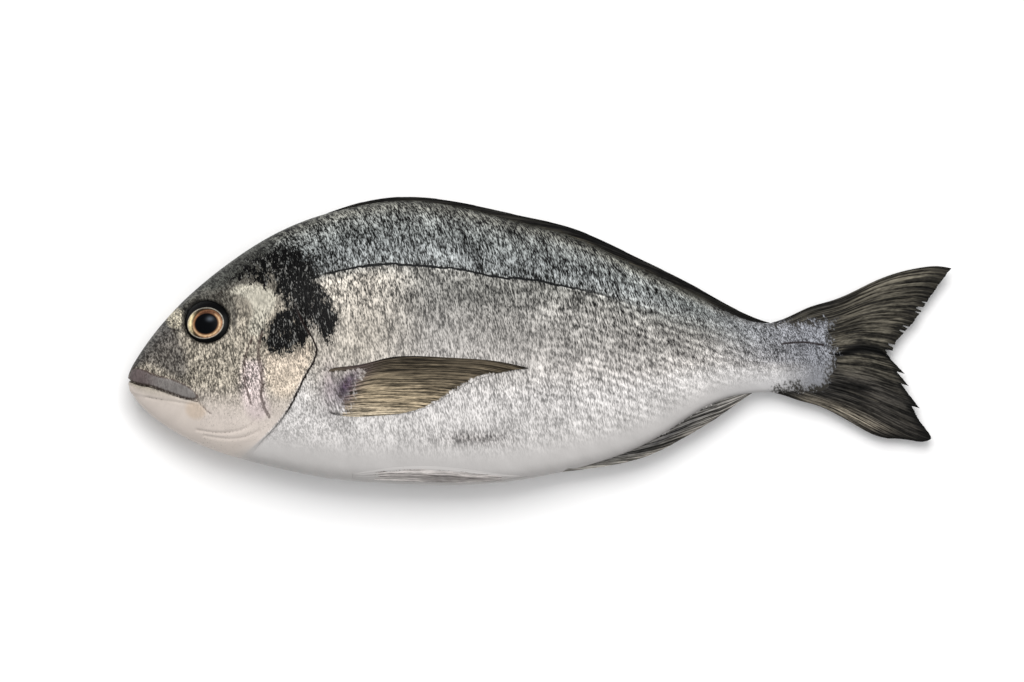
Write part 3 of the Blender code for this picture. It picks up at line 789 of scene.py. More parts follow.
skinGrain = {
    # strength on the back, and what is taken off it elsewhere
    "back": 1.8, "pale": 0.6, "below": 0.46, "low": 0.35, "belly": 0.97,
    "rear": 0.4, "rearLow": 0.45, "smudge": 0.45,
    "face": 0.30, "faceLow": 0.6, "plate": 0.8, "jaw": 0.85,
    # calm places on the face, and clean ones without specks: strength, centre, reach
    "calm": ((0.8, (-113, 17), (9, 7)), (0.5, (-100, -12), (9, 10))),
    "clean": ((0.7, (-112, 16), (8, 7)), (0.5, (-99, -13), (8, 9))),
    "lean": 0.14, "backLean": 0.44, "leanFade": 14,     # slope of the strokes, and added at the back
    "inwards": 0.35,
    "row": 0.17, "rowAbove": 0.1,     # depth of the scale rows, and less over the lateral line
    "speck": (0.1, 0.4), "speckOff": 1.3,
    "gillShift": 0.25, "gillGain": 0.9,
}
# mm of distance counted for each mm, so more is thinner: the painted shade in the nostrils and in the stalk's
# crease
slitShadeGain = {"rear": (1.6, 1.1, 0.6), "front": 0.8, "stalk": 0.55}


def streakOfSkin(x, y, depth, light, lateral, onHead, inPlate, under):
    # strength of the strokes: strong on the back, weaker down the flank, none on the belly
    look = skinGrain
    rear = ease(x, 20, 70)
    belly = ease(depth, 0.80, 0.93) * (1 - rear) + ease(depth, 0.75, 0.95) * rear
    flank = (1 - look["belly"] * belly) * (look["back"] - look["pale"] * light)
    flank *= 1 - look["below"] * ease(-lateral, 4, 30) * (1 - onHead)
    flank *= 1 - look["low"] * ease(depth, 0.6, 0.8)
    flank *= 1 - look["rear"] * ease(x, 35, 85)
    flank *= 1 - look["rearLow"] * ease(x, 55, 85) * ease(depth, 0.45, 0.7)
    flank += look["smudge"] * bell(x, y, *skinLook["smudgeAt"])
    calm = sum(strength * bell(x, y, centre, reach) for strength, centre, reach in look["calm"])
    streak = flank * (1 - onHead * (look["face"] + look["faceLow"] * ease(depth, 0.62, 0.80)))
    return flank, streak * (1 - look["plate"] * inPlate) * (1 - onHead * calm) * (1 - look["jaw"] * under)


def linesOfSkin(x, y, ahead):
    # distances to the creases and to the slits, which are darkened as painted shade, and how black the blotch
    # is
    crease = np.full(x.shape, 9.0)
    for groove in grooves.values():
        if "faint" in groove:
            crease = np.minimum(crease, distanceTo(groove["path"], x, y)[0] + groove["faint"])
    crease = np.minimum(crease, np.abs(regionDistance(jawPlate, x, y)))
    crease = crease + 3 * (1 - ease(ahead, -3, 1))
    (rearX, rearY), (frontX, frontY) = nostril["rear"], nostril["front"]
    reachX, reachY, gain = slitShadeGain["rear"]
    slit = distanceTo(grooves["mouth"]["path"], x, y)[0]
    slit = np.minimum(slit, np.hypot((x - rearX) / reachX, (y - rearY) / reachY) * gain)
    slit = np.minimum(slit, np.hypot(x - frontX, y - frontY) * slitShadeGain["front"])
    slit = np.minimum(slit, distanceTo(stalkLine, x, y)[0] * slitShadeGain["stalk"])
    blotch = np.zeros(x.shape)
    for strength, outline in blotches:
        share = blotchRim["level"] - regionDistance(outline, x, y) / blotchRim["softness"]
        blotch = np.maximum(blotch, strength * np.clip(share, 0, 1))
    return crease, slit, blotch


def skinAttributes(points, girth):
    # what the skin's material reads at each point
    look = skinGrain
    x, y, z = points[..., 0], points[..., 1], points[..., 2]
    behind = x - body["snoutX"]
    tint, depth, onHead, inPlate = tintOfSkin(x, y, behind)
    # the strokes lean by 30 degrees at the back and by 8 on the flank: the shift is the lean's slope summed
    # down the girth
    fade = look["leanFade"]
    lean = look["lean"] * girth + look["backLean"] * fade * (1 - np.exp(-girth / fade))
    lateral = y - lateralAt(x)
    ahead = gillAt(y) - behind
    light = (1 - ease(lateral, -2, 1)) * (1 - 0.7 * ease(x, 50, 90)) * (1 - onHead) + 0.7 * onHead
    # the lower jaw under the slit is smooth
    slitHeight = np.interp(x, *np.transpose(grooves["mouth"]["path"]))
    under = ease(slitHeight - y, -0.3, 1.0) * (1 - ease(x, -141, -134))
    flank, streak = streakOfSkin(x, y, depth, light, lateral, onHead, inPlate, under)
    chin = onHead * (1 - ease(depth, 0.6, 0.8)) * (1 - inPlate)
    speck = chin * (look["speck"][0] + look["speck"][1] * ease(depth, 0.02, 0.15)) - under
    speck -= sum(strength * bell(x, y, centre, reach) for strength, centre, reach in look["clean"])
    crease, slit, blotch = linesOfSkin(x, y, ahead)
    row = look["row"] - look["rowAbove"] * ease(lateral, -1, 3)
    return {
        "tint": tint, "streak": streak, "light": light, "grit": gritShare(x), "away": awayFromScales(x, y),
        "place": np.stack([x - lean, girth, z * look["inwards"]], -1),
        "lateral": lateral, "lateralShare": ease(x, -90, -84) * (1 - 0.75 * ease(x, 5, 60)) * (1 - onHead),
        "band": between(x, -40, 30, 80, 105) * row * flank,
        "speck": speck - look["speckOff"] * (1 - onHead), "blotch": blotch, "crease": crease, "slit": slit,
        "gillLine": (ahead + look["gillShift"]) * look["gillGain"],
        "gillShare": between(y, -46, -36, 10, 17) * (1 - 0.8 * ease(-y, 26, 34)),
    }


def girthOf(points):
    # arc length round each ring from the back's ridge, on either flank
    step = np.linalg.norm(np.roll(points, -1, axis=1) - points, axis=-1)
    reached = np.concatenate([np.zeros((len(points), 1)), np.cumsum(step, axis=1)[:, :-1]], axis=1)
    whole = step.sum(axis=1, keepdims=True)
    return np.minimum(reached, whole - reached)


def bentRing(station, angle):
    # a ring's distance behind the snout: near the gill cover the rings bend to follow its edge, solved by
    # repetition
    fore = station < gill["middle"]
    rest = np.maximum(0, 1 - (station - gill["middle"]) / gill["bendReach"])
    share = np.where(fore, station / gill["middle"], rest) ** gill["bendPower"]
    behind = station + np.zeros_like(angle)
    for _ in range(14):
        behind = station + share * (gillAt(skinPoint(behind, angle)[..., 1]) - gill["middle"])
    return behind


headMesh = {
    "columns": 190, "rows": 400, "spread": 1.6,
    # rings past the gill cover's edge: distance on and drop below the skin, on the cover and at the nape
    "coverOn": (0.25, 0.42, 0.45, 0.3, -0.4, -3.0), "coverDrop": (0.18, 0.5, 0.9, 1.3, 1.7, 3.0),
    "napeOn": (0.6, 1.4, 2.4, 3.6, 5.0, 7.0), "napeDrop": (0.01, 0.04, 0.1, 0.22, 0.5, 1.4),
}
trunkMesh = {
    "columns": 250, "rows": 380,
    "overlap": 9.0,           # the trunk starts this far under the gill cover
    "napeDrop": 0.02, "coverDrop": 0.12,      # and sinks by this for each mm of it
    "lineHeight": 0.08, "lineWidth": 0.6, "lineShift": 0.8,
    # the chest fin's base and the dent of the vent: height, centre, reach
    "bells": ((0.5, (-84, -19), (7, 11)), (-0.7, (11.5, -51.5), (1.6, 1.2))),
}


def turns(rows):
    # angles of one full turn in equal steps: 2 pi k / rows
    return 2 * math.pi * np.arange(rows) / rows


def makeHead(material):
    # rings of the section with relief along the normals, then rings that turn in under the gill cover's edge
    look = headMesh
    station = gill["middle"] * (np.arange(1, look["columns"] + 1) / look["columns"]) ** look["spread"]
    station, angle = np.meshgrid(station, turns(look["rows"]), indexing="ij")
    points = skinPoint(bentRing(station, angle), angle)
    normal = gridNormals(points)
    points = points + normal * reliefOfHead(points[..., 0], points[..., 1])[..., None]
    edge, out = points[-1], normal[-1]
    cover = coverShare(edge[:, 1])
    behind = edge[:, 0] - body["snoutX"]
    flat = skinPoint(behind, angle[-1])
    rings = []
    for on, drop, farOn, farDrop in zip(look["coverOn"], look["coverDrop"], look["napeOn"], look["napeDrop"]):
        ring = edge + skinPoint(behind + farOn + cover * (on - farOn), angle[-1]) - flat
        rings.append(ring - out * (farDrop + cover * (drop - farDrop))[:, None])
    points = np.concatenate([points, np.stack(rings)])
    poles = [skinPoint(np.array(0.0), np.array(0.0)), points[-1].mean(0)]
    makeRings("head", points, poles, skinAttributes(points, girthOf(points)), material, body["restHeight"])


def makeTrunk(material):
    # rings of the section from under the gill cover to the tail's root, with relief along the normals
    look = trunkMesh
    station = np.linspace(gill["middle"] - look["overlap"], body["length"], look["columns"])
    station, angle = np.meshgrid(station, turns(look["rows"]), indexing="ij")
    behind = bentRing(np.maximum(station, gill["middle"]), angle) + np.minimum(station - gill["middle"], 0)
    points = skinPoint(behind, angle)
    x, y = points[..., 0], points[..., 1]
    ahead = gillAt(y) - behind
    relief = -sinkAt(ahead, y) - np.maximum(ahead, 0) * (look["napeDrop"] + look["coverDrop"] * coverShare(y))
    line = hump(y - lateralAt(x) + look["lineShift"], look["lineWidth"])
    relief += look["lineHeight"] * line * ease(x, -96, -88)
    for height, centre, reach in look["bells"]:
        relief += height * bell(x, y, centre, reach)
    points = points + gridNormals(points) * relief[..., None]
    poles = [points[0].mean(0), points[-1].mean(0)]
    makeRings("trunk", points, poles, skinAttributes(points, girthOf(points)), material, body["restHeight"])


def tintOfEye(u, v):
    # dark rim, pale and copper rings and a black pupil, each by its distance from the middle; the dark rim is
    # painted shade of the socket and the pale patch in the pupil is a painted highlight
    def within(key):
        (du, dv), (reachU, reachV) = eye[key + "Shift"], eye[key]
        return np.hypot((u - du) / reachU, (v - dv) / reachV)

    lens, copper, pupil = within("lens"), within("copper"), within("pupil")
    ring = plainTint(u.shape, (40, 32, 26))
    for colour, share in (
            ((242, 224, 178), bell(u, v, (-6.3, -0.9), (1.7, 4.2))),
            ((112, 78, 54), 1 - ease(copper, 0.93, 1.03)),
            ((150, 108, 78), 0.85 * hump(copper - 0.9, 0.05)),
            ((212, 180, 140), 0.8 * hump(pupil - 1.12, 0.07) * ease(-v + 0.6 * u, -3, 2)),
            ((70, 44, 34), 0.8 * ease(v, 1.5, 3.8) * (1 - ease(copper, 0.88, 0.98))),
            ((62, 44, 26), 0.8 * hump(copper - 1.03, 0.05) * ease(-u, -1, 3)),
            ((204, 198, 184), 0.75 * hump(lens - 0.975, 0.022))):
        ring = layer(ring, colour, share)
    inside = 1 - ease(lens, 0.97, 1.03)
    # painted shade: outside the lens the ball is near black, standing for the shade under the socket's rim;
    # as the lens sits low, this ring is widest at the top
    tint = blend(plainTint(u.shape, (7, 7, 8)), ring, inside)
    tint = layer(tint, (5, 6, 9), 1 - ease(pupil, 0.92, 1.03))
    # painted highlight: a soft grey-blue patch at the pupil's upper right stands for a reflection of the lamp
    paintedHighlight = bell(u - eye["pupilShift"][0], v - eye["pupilShift"][1], (1.6, 1.9), (1.3, 0.9))
    tint = layer(tint, (92, 98, 106), 0.7 * paintedHighlight * (1 - ease(pupil, 0.8, 0.95)))
    return tint, inside * ease(pupil, 0.95, 1.1), pupil


def makeEye(name, side, material):
    # flattened ball about the skin's normal: radius r sin(a) across, depth cos(a) out
    ex, ey = eye["centre"]
    reach = eye["slopeReach"]

    def skinAt(x, y):
        return np.array([x, y, float(skinHeight(np.array(x), np.array(y), side))])

    centre = skinAt(ex, ey)
    along = skinAt(ex + reach, ey) - skinAt(ex - reach, ey)
    out = np.cross(along, skinAt(ex, ey + reach) - skinAt(ex, ey - reach)) * side
    out /= np.linalg.norm(out)
    along -= out * (along @ out)
    along /= np.linalg.norm(along)
    up = np.cross(out, along) * side
    a = math.pi * np.arange(1, eye["columns"] + 1) / (eye["columns"] + 1)
    a, turn = np.meshgrid(a, turns(eye["rows"]), indexing="ij")
    u = (eye["outer"][0] + eye["beyond"]) * np.sin(a) * np.cos(turn)
    v = (eye["outer"][1] + eye["beyond"]) * np.sin(a) * np.sin(turn)
    front = a < eye["frontEnd"]
    tint, iris, pupil = tintOfEye(u, v)
    lift = eye["depth"] * (np.cos(a) - 1) + eye["bulge"] + eye["cornea"] * hump(pupil, 1.1) * front
    points = centre + u[..., None] * along + v[..., None] * up + lift[..., None] * out
    poles = [centre + out * (eye["bulge"] + eye["cornea"]), centre + out * (eye["bulge"] - 2 * eye["depth"])]
    look = {"tint": tint, "place": np.stack([u, v, np.zeros_like(u) + 7 * side], -1),
            "streak": eye["mottle"] * iris * front}
    makeRings(name, points, poles, look, material, eye["leastHeight"])


def finSkin(points, share, streak):
    # the skin's colour under a fin, the share of it that shows, and how strong its strokes are
    x, y, z = points[..., 0], points[..., 1], points[..., 2]
    tint = tintOfSkin(x, y, x - body["snoutX"])[0]
    place = np.stack([x - 0.3 * (20 - y), 20 - y, z * 0.3], -1)
    return {"skinTint": tint, "skinShare": share, "skinStreak": share * 0 + streak, "place": place,
            "grit": gritShare(x)}


def coons(fin):
    # Coons patch between four edges: the two blends of opposite edges less the bilinear blend of the corners
    columns, rows = fin["columns"], fin["rows"]
    u, v = np.meshgrid(np.linspace(0, 1, columns), np.linspace(0, 1, rows), indexing="ij")
    top, low = pathThrough(fin["upper"], columns), pathThrough(fin["lower"], columns)
    root, rear = pathThrough(fin["root"], rows), pathThrough(fin["rear"], rows)
    a, b = u[..., None], v[..., None]
    corners = (1 - a) * (1 - b) * top[0] + a * (1 - b) * top[-1] + (1 - a) * b * low[0] + a * b * low[-1]
    return (1 - b) * top[:, None] + b * low[:, None] + (1 - a) * root[None] + a * rear[None] - corners, u, v


def smoothChance(count, length, seed):
    # random numbers in a row, smoothed by a bell of the given length
    values = np.random.default_rng(seed).random(count + 8 * length)
    weights = hump(np.arange(-4 * length, 4 * length + 1) / length, 1)
    return np.convolve(values, weights / weights.sum(), "valid")[:count]


def shorten(flat, cut, pull):
    # draws the rear edge in along the rays by the cut of each strand, and the points before it by less
    inward = flat[-2] - flat[-1]
    inward /= np.linalg.norm(inward, axis=-1, keepdims=True) + 1e-9
    return flat + inward[None] * (cut[None] * pull)[..., None]


def rayRidge(v, u, rays):
    # rays that fork twice: |cos| waves of one, two and four times the count, taking over from each other
    one, two, four = (np.abs(np.cos(math.pi * rays * k * v)) for k in (1, 2, 4))
    late, later = ease(u, 0.2, 0.5), ease(u, 0.55, 0.85)
    return (one * (1 - late) + two * late) * (1 - later) + four * later


def rayPlace(u, v, rays, length, layerAt):
    # where the fin's noises are read: two units to a ray across, millimetres along
    return np.stack([v * rays * 2, u * length, v * 0 + layerAt], -1)


def rimShare(u, v, sides, rear):
    # 0 on the rim, rising to 1 within a share of the fin of 1 / sides and 1 / rear
    return np.minimum(np.minimum(v, 1 - v) * sides, (1 - u) * rear)


tail = {
    # distance behind the snout, height
    "upper": ((256, 7.0), (263.4, 9.4), (273, 13.8), (281.8, 16.4), (291, 20.2), (297, 23.2), (303, 25.8),
              (309.8, 28), (317.4, 29.6), (324.6, 30.2), (330, 29.4)),
    "lower": ((255, -19.8), (262.2, -21.4), (269.4, -23.8), (275.4, -25.4), (285, -29.8), (291.4, -33.4),
              (300, -37.8), (304.5, -38.9)),
    "root": ((256, 7.0), (262, 2), (264, -6), (261, -14), (255, -19.8)),
    "rear": ((330, 29.4), (326.6, 24.6), (321.6, 17.4), (315.6, 8.6), (311.4, 3.6), (306.8, -3.2),
             (307.4, -7), (310.4, -11.4), (313.4, -18.2), (317.4, -26.9), (320.4, -34.5), (321.9, -39.1),
             (320.9, -39.8), (314, -39.7), (304.5, -38.9)),
    "tips": (-4.0, -13.2, -18.2, -26.9, -39.0), "stepDepth": 3.6,
    "columns": 118, "rows": 420, "rays": 17, "halfThick": 0.62, "rimThick": 0.12, "length": 60,
    "fray": ((0.9, 4, 5), (0.4, 1, 6)),       # depth, length in strands, seed
    "tearDepth": 2.4, "tear": (2, 11),        # length, seed
    "foldAt": 0.47, "foldDrop": 0.9, "foldWidth": 0.03, "foldShadeWidth": 0.026,     # between the lobes, with a line of painted shade along the fold
    "waves": ((0.5, 9, 2), (0.25, 31, 0)),    # depth, radians across, radians along
    "tint": (62, 59, 52), "skinStreak": 0.95,
    "look": {"darkRay": (10, 10, 10), "lightRay": (96, 91, 80), "torn": (12, 12, 12), "contrast": 0.85},
}


def makeTail(material):
    # two sheets to each side of the sagging middle plane, thick on the rays, thin between them and at the rim
    flat, u, v = coons(tail)
    # the rear edge is frayed: each strand between two rays is cut short by its own amount
    fray = sum(depth * smoothChance(tail["rows"], length, seed) for depth, length, seed in tail["fray"])
    torn = ease(smoothChance(tail["rows"], *tail["tear"]), 0.56, 0.68)
    cut = (fray - fray.min()) * ease(np.minimum(v[0], 1 - v[0]), 0, 0.03)
    cut += tail["tearDepth"] * torn * between(v[0], 0.04, 0.1, 0.40, 0.46)
    # the lower lobe ends in steps: the edge comes out in a straight line to each tip and jumps back below it
    height = flat[-1, :, 1]
    tips = np.array(tail["tips"])
    nextTip = np.clip(np.searchsorted(-tips, -height), 1, len(tips) - 1)
    phase = (height - tips[nextTip - 1]) / (tips[nextTip] - tips[nextTip - 1])
    stepped = ease(tips[0] - height, 0, 1) * ease(height - tips[-1], 0, 1)
    cut += tail["stepDepth"] * (1 - np.clip(phase, 0, 1)) * stepped
    flat = shorten(flat, cut, ease(u, 0.86, 1.0))
    ridge = rayRidge(v, u, tail["rays"])
    full = tail["halfThick"] * (1 - 0.5 * u) * (0.75 + 0.35 * ridge)
    half = tail["rimThick"] + (full - tail["rimThick"]) * ease(rimShare(u, v, 40, 30), 0, 1)
    x, y = flat[..., 0] + body["snoutX"], flat[..., 1]
    fold = v - tail["foldAt"] - 0.03 * np.sin(6 * u)
    z = planeAt(flat[..., 0]) + tail["foldDrop"] * u * (0.5 - ease(fold, -0.02, 0.015))
    for depth, across, along in tail["waves"]:
        z = z + depth * u * np.sin(across * v + along * u)
    outer, inner = (np.stack([x, y, z + way * half], -1) for way in (1, -1))
    tint = plainTint(u.shape, tail["tint"])
    for colour, share in (
            ((43, 41, 38), ease(v, 0.5, 0.66)),
            ((20, 19, 19), 0.8 * hump((v - 0.02) / 0.03, 1) * (1 - ease(u, 0.4, 0.7))),
            # painted shade: a near-black line along the fold, where the lower lobe steps down from the upper
            ((4, 4, 4), 0.98 * hump(fold, tail["foldShadeWidth"]) * ease(u, 0.08, 0.3)),
            ((24, 24, 23), 0.4 * (1 - ease(u, 0.3, 0.5))),
            ((92, 88, 78), 0.5 * hump(v - 0.06, 0.03) * ease(u, 0.35, 0.6)),
            ((126, 119, 107), 0.8 * hump(v - 0.93, 0.06) * between(u, 0.15, 0.4, 0.7, 0.9))):
        tint = layer(tint, colour, share)
    look = {"tint": tint, "ridge": ridge * (1 - hump(fold, tail["foldWidth"])),
            "edge": 0.7 * ease(u, 0.86, 0.99) + 0.2 * ease(u, 0.6, 0.95) * (v > 0.5),
            "ray": rayPlace(u, v, tail["rays"], tail["length"], 3),
            **finSkin(np.stack([x, y, z], -1), 1 - awayFromScales(x, y), tail["skinStreak"])}
    makeShell("tail_fin", outer, inner, look, material)


chestFin = {
    "upper": ((-84.0, -10.6), (-76, -9.8), (-70.8, -9), (-60.2, -6.4), (-53.6, -5.8), (-36.3, -6.4),
              (-25.7, -7), (-16.4, -8), (-4.5, -10.6)),
    "lower": ((-83.4, -29.0), (-76.1, -29.9), (-66, -29.7), (-56.2, -28.9)),
    "root": ((-84.0, -10.6), (-86.2, -17), (-86, -24), (-83.4, -29.0)),
    "rear": ((-4.5, -10.6), (-9.8, -11.5), (-23, -14.8), (-29.7, -17.8), (-36.3, -21.9), (-43, -25.6),
             (-49.6, -27.9), (-56.2, -28.9)),
    "columns": 150, "rows": 130, "rays": 15, "length": 60,
    "lift": 0.6, "rayHeight": 0.16, "baseBulge": 0.7, "tipLift": 0.35, "sunk": 0.25,
    "frayDepth": 1.5, "fray": (1, 21),        # length in strands, seed
    "tint": (68, 61, 50), "skinStreak": 0.65,
    "look": {"darkRay": (40, 34, 27), "lightRay": (176, 162, 136), "contrast": 0.85},
}


def makeChestFin(name, side, material):
    # one sheet just over the skin and one just under it; both keep off the floor under the right flank
    fin = chestFin
    flat, u, v = coons(fin)
    cut = fin["frayDepth"] * smoothChance(fin["rows"], *fin["fray"]) * ease(v[0], 0.02, 0.1)
    flat = shorten(flat, cut, ease(u, 0.85, 1.0))
    x, y = flat[..., 0], flat[..., 1]
    ridge = rayRidge(v, u, fin["rays"]) * ease(u, 0.1, 0.22)
    skin = skinHeight(x, y, side)
    tipLift = fin["tipLift"] * ease(u, 0.7, 1.0)
    full = fin["lift"] * (1 - 0.35 * u) + fin["rayHeight"] * ridge
    rise = (0.15 + full * ease(rimShare(u, v, 22, 14), 0, 1)) * ease(u, -0.02, 0.05)
    rise += fin["baseBulge"] * bell(u, v, (0.1, 0.5), (0.1, 0.5)) + tipLift
    outer = np.stack([x, y, np.maximum(skin + side * rise, 0.06)], -1)
    inner = np.stack([x, y, np.maximum(skin + side * (tipLift - fin["sunk"]), 0.1)], -1)
    tint = plainTint(u.shape, fin["tint"])
    for colour, share in (
            ((130, 118, 98), ease(v - 0.28 * u, 0.12, 0.5)),
            ((178, 166, 146), 0.8 * ease(v - 0.2 * u, 0.55, 0.95)),
            ((26, 22, 18), 0.9 * (1 - ease(v, 0.0, 0.05 + 0.05 * (1 - ease(u, 0.2, 0.4))))),
            ((62, 49, 62), 0.9 * bell(u, v, (0.17, 0.5), (0.1, 0.4)))):
        tint = layer(tint, colour, share)
    share = (1 - ease(u, 0.02, 0.36)) * ease(v, 0.02, 0.16) + 0.75 * ease(u, 0.93, 1.0) * ease(v, 0.16, 0.3)
    skinned = finSkin(outer, share, fin["skinStreak"])
    # the skin's purple at the fin's base, and painted shade on the skin along the fin's lower root
    for colour, share in (((66, 50, 70), 0.95 * bell(u, v, (0.15, 0.42), (0.075, 0.36))),
                          ((40, 32, 34), 0.8 * hump((v - 0.97) / 0.06, 1) * (1 - ease(u, 0.05, 0.16)))):
        skinned["skinTint"] = layer(skinned["skinTint"], colour, share)
    ray = rayPlace(u, v, fin["rays"], fin["length"], 9 * side)
    makeShell(name, outer, inner, {"tint": tint, "ridge": ridge, "ray": ray, **skinned}, material)


backFin = {
    # distance behind the snout, crest height over the back
    "crest": ((80, 0.1), (92, 1.0), (112, 1.5), (140, 2.1), (165, 3.2), (200, 4.3), (232, 3.7), (250, 1.8),
              (257, 0.2)),
    "columns": 620, "rows": 40, "halfWidth": 1.0, "pitch": 15.0, "slope": 60.0, "side": 1, "root": 2.2,
    "tooth": 0.1, "skinUpTo": (0.3, 0.56), "lines": 6.5, "pale": (24, 23, 20), "darkest": 190.0,
    # share of the way from root to crest, colour
    "colours": ((0, (66, 63, 54)), (0.4, (52, 49, 41)), (0.58, (22, 21, 19)), (0.75, (9, 9, 9)),
                (1, (7, 7, 7))),
    "look": {"darkRay": (8, 8, 8), "lightRay": (58, 55, 46), "contrast": 1.1},
}
ventFin = {
    "crest": ((174, 0.1), (189, 2.1), (205, 4.7), (221, 6.8), (229, 7.3), (237, 6.1), (245, 2.7), (250, 0.1)),
    "columns": 300, "rows": 72, "halfWidth": 1.6, "pitch": 9.0, "slope": 44.0, "side": -1, "root": 3.2,
    "tooth": 0.12, "skinUpTo": (0.16, 0.46), "lines": 9.0, "pale": (146, 143, 138), "darkest": 214.0,
    "colours": ((0, (120, 117, 114)), (0.3, (84, 82, 79)), (0.55, (58, 57, 57)), (0.8, (74, 72, 68)),
                (1, (110, 106, 100))),
    "look": {"darkRay": (22, 21, 21), "lightRay": (168, 164, 156), "contrast": 0.9},
}


def makeFoldedFin(name, fin, material):
    # closed blade: h runs from root to crest and back, y = edge + h-th of the height,
    # z = plane +- width (1.02 - h)^0.5, with teeth that lean back where the folded rays end
    crestAt = curveThrough(fin["crest"])
    first, last = fin["crest"][0][0], fin["crest"][-1][0]
    behind = np.linspace(first, last, fin["columns"])
    behind, turn = np.meshgrid(behind, turns(fin["rows"]), indexing="ij")
    h, around = 0.5 - 0.5 * np.cos(turn), np.sin(turn)
    edgeAt = backAt if fin["side"] > 0 else bellyAt
    phase = np.mod((behind - first + fin["slope"] * (1 - h)) / fin["pitch"], 1)
    saw = phase * (1 - ease(phase, 0.86, 1.0)) / 0.86
    fade = np.clip(np.minimum(behind - first, last - behind) / 8, 0, 1)
    crest = np.maximum(crestAt(behind), 0.05) + fin["tooth"] * fade * (saw - 0.5)
    y = edgeAt(behind) + fin["side"] * ((fin["root"] + crest) * h - fin["root"])
    width = fin["halfWidth"] * (0.2 + 0.8 * fade) * (1.02 - h) ** 0.5 * (0.72 + 0.5 * saw)
    z = planeAt(behind) + np.sign(around) * width * np.clip(np.abs(around) * 3, 0, 1)
    points = np.stack([behind + body["snoutX"], y, z], -1)
    paleShare = 0.6 * (1 - hump((behind - fin["darkest"]) / 24, 1))
    ray = (behind / fin["slope"] + 1 - h) * fin["lines"]
    look = {"tint": layer(graded(h, fin["colours"]), fin["pale"], paleShare),
            "ridge": np.abs(np.cos(math.pi * phase)) * ease(h, 0.2, 0.5),
            "ray": np.stack([ray, behind * 0.8, np.sign(around) * 4], -1),
            **finSkin(points, 1 - ease(h, *fin["skinUpTo"]), 0.5)}
    makeRings(name, points, [points[0].mean(0), points[-1].mean(0)], look, material)


bellyFin = {
    "start": 90.0, "length": 70.0, "inner": math.radians(170), "outer": math.radians(150),
    "columns": 130, "rows": 60, "lift": 0.22, "rayHeight": 0.12, "rays": 4, "sunk": 0.5, "noiseLength": 66,
    "tint": (178, 173, 170), "streak": (112, 106, 104), "streakAt": ((0.55, 0.45), (0.3, 0.25)),
    "look": {"darkRay": (112, 104, 102), "lightRay": (204, 199, 195), "contrast": 0.5},
}


def makeBellyFin(name, side, material):
    # narrow leaf on the skin beside the keel: it spreads as sin(pi u)^0.8 from the inner angle to the outer
    fin = bellyFin
    u, v = np.meshgrid(np.linspace(0, 1, fin["columns"]), np.linspace(0, 1, fin["rows"]), indexing="ij")
    spread = np.sin(math.pi * np.minimum(1, 0.12 + 0.86 * u)) ** 0.8
    angle = fin["inner"] - (fin["inner"] - fin["outer"]) * spread * v
    angle = angle if side > 0 else 2 * math.pi - angle
    point = skinPoint(fin["start"] + u * fin["length"], angle)
    out = np.stack([np.zeros_like(u), np.cos(angle), np.abs(np.sin(angle)) * side], -1)
    ridge = rayRidge(v, u * 0.6, fin["rays"])
    rim = ease(np.minimum(rimShare(u, v, 9, 12), u * 20), 0, 1)
    rise = 0.02 + (fin["lift"] + fin["rayHeight"] * ridge) * rim
    outer, inner = point + out * rise[..., None], point - out * fin["sunk"]
    for sheet, least in ((outer, 0.06), (inner, 0.1)):
        sheet[..., 2] = np.maximum(sheet[..., 2], least)
    bare = ease(np.minimum(np.minimum(v, 1 - v), np.minimum(u, 1 - u)) * 4, 0.1, 1.0)
    look = {"tint": layer(plainTint(u.shape, fin["tint"]), fin["streak"], 0.5 * bell(u, v, *fin["streakAt"])),
            "ridge": ridge, "ray": rayPlace(u, v, fin["rays"], fin["noiseLength"], 5 * side),
            **finSkin(outer, 1 - bare, 0.0)}
    makeShell(name, outer, inner, look, material)


skin = skinMaterial()
makeHead(skin)
makeTrunk(skin)
print("made the body")
eyeball = eyeMaterial()
makeEye("eye_left", 1, eyeball)
makeEye("eye_right", -1, eyeball)
makeTail(finMaterial("tail_look", tail["look"]))
chestLook = finMaterial("chest_look", chestFin["look"])
makeChestFin("chest_fin_left", 1, chestLook)
makeChestFin("chest_fin_right", -1, chestLook)
makeFoldedFin("back_fin", backFin, finMaterial("back_look", backFin["look"]))
makeFoldedFin("vent_fin", ventFin, finMaterial("vent_look", ventFin["look"]))
bellyLook = finMaterial("belly_look", bellyFin["look"])
makeBellyFin("belly_fin_left", 1, bellyLook)
makeBellyFin("belly_fin_right", -1, bellyLook)
print("made the fins and eyes")

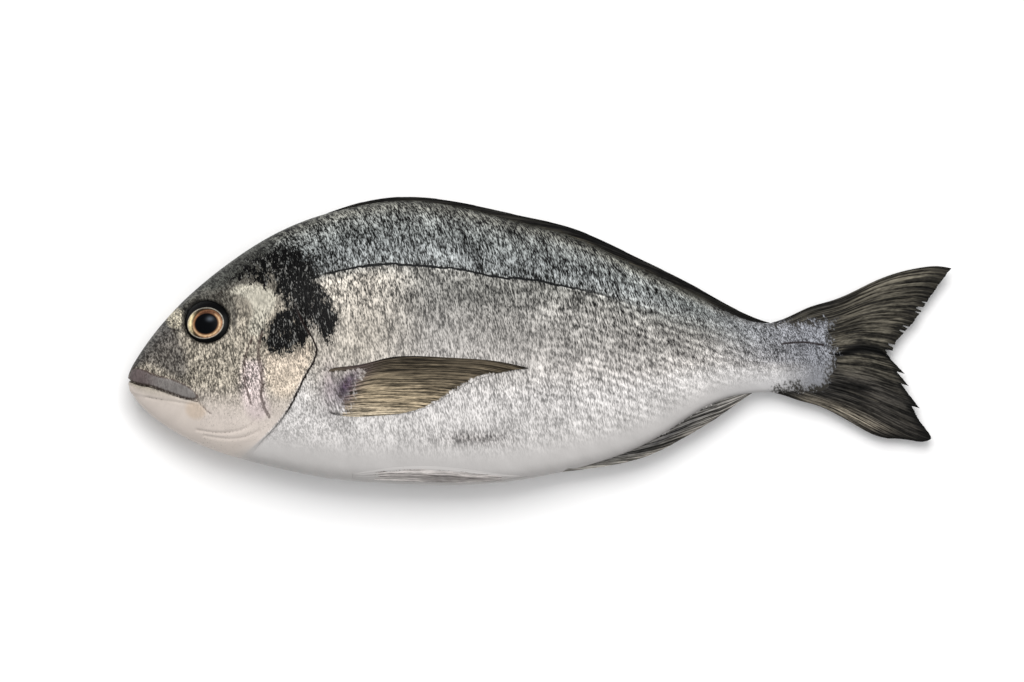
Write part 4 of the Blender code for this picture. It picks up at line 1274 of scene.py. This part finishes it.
studio = {
    "camera": (-0.0112, 0.0002, 6.0), "lens": 525.4, "sensor": 36.0,
    "floorSize": 3.0, "floorColour": (0.96, 0.96, 0.96), "floorRoughness": 0.9, "floorSpecular": 0.1,
    "worldStrength": 0.40,
    "key": {"place": (-0.05, 0.6, 1.2), "size": 0.8, "energy": 13.0, "colour": (1.0, 0.99, 0.98)},
    "top": {"place": (0.12, 0.1, 1.5), "size": 1.0, "energy": 7.0, "colour": (0.99, 0.99, 1.0)},
}


def put(name, data, location):
    # adds an object with its data to the scene, at a place in metres
    made = bpy.data.objects.new(name, data)
    made.location = location
    bpy.context.scene.collection.objects.link(made)
    return made


def addLight(name):
    # square area light, turned to the fish
    data = bpy.data.lights.new(name, "AREA")
    data.size = studio[name]["size"]
    data.energy = studio[name]["energy"]
    data.color = studio[name]["colour"]
    x, y, z = studio[name]["place"]
    light = put(name, data, (x, y, z))
    # an area light shines down its own -Z, so the turn is the elevation and azimuth of the way to the fish
    reach = math.sqrt(x * x + y * y + z * z)
    light.rotation_euler = (math.acos(z / reach), 0, math.atan2(y, x) + math.pi / 2)


def makeStudio():
    # white surroundings, a white floor, two lights and the camera
    world = bpy.data.worlds.new("studio")
    bpy.context.scene.world = world
    world.use_nodes = True
    world.node_tree.nodes["Background"].inputs[0].default_value = (1, 1, 1, 1)
    world.node_tree.nodes["Background"].inputs[1].default_value = studio["worldStrength"]
    half = studio["floorSize"] / 2
    mesh = bpy.data.meshes.new("floor")
    corners = [(-half, -half, 0), (half, -half, 0), (half, half, 0), (-half, half, 0)]
    mesh.from_pydata(corners, [], [(0, 1, 2, 3)])
    paint = bpy.data.materials.new("floor_paint")
    paint.use_nodes = True
    surface = paint.node_tree.nodes["Principled BSDF"]
    surface.inputs["Base Color"].default_value = (*studio["floorColour"], 1)
    surface.inputs["Roughness"].default_value = studio["floorRoughness"]
    surface.inputs["Specular IOR Level"].default_value = studio["floorSpecular"]
    mesh.materials.append(paint)
    floor = put("floor", mesh, (0, 0, 0))
    addLight("key")
    addLight("top")
    data = bpy.data.cameras.new("camera")
    data.lens = studio["lens"]
    data.sensor_width = studio["sensor"]
    bpy.context.scene.camera = put("camera", data, studio["camera"])
    bpy.context.scene.view_settings.view_transform = "Standard"


makeStudio()
print("made the studio")
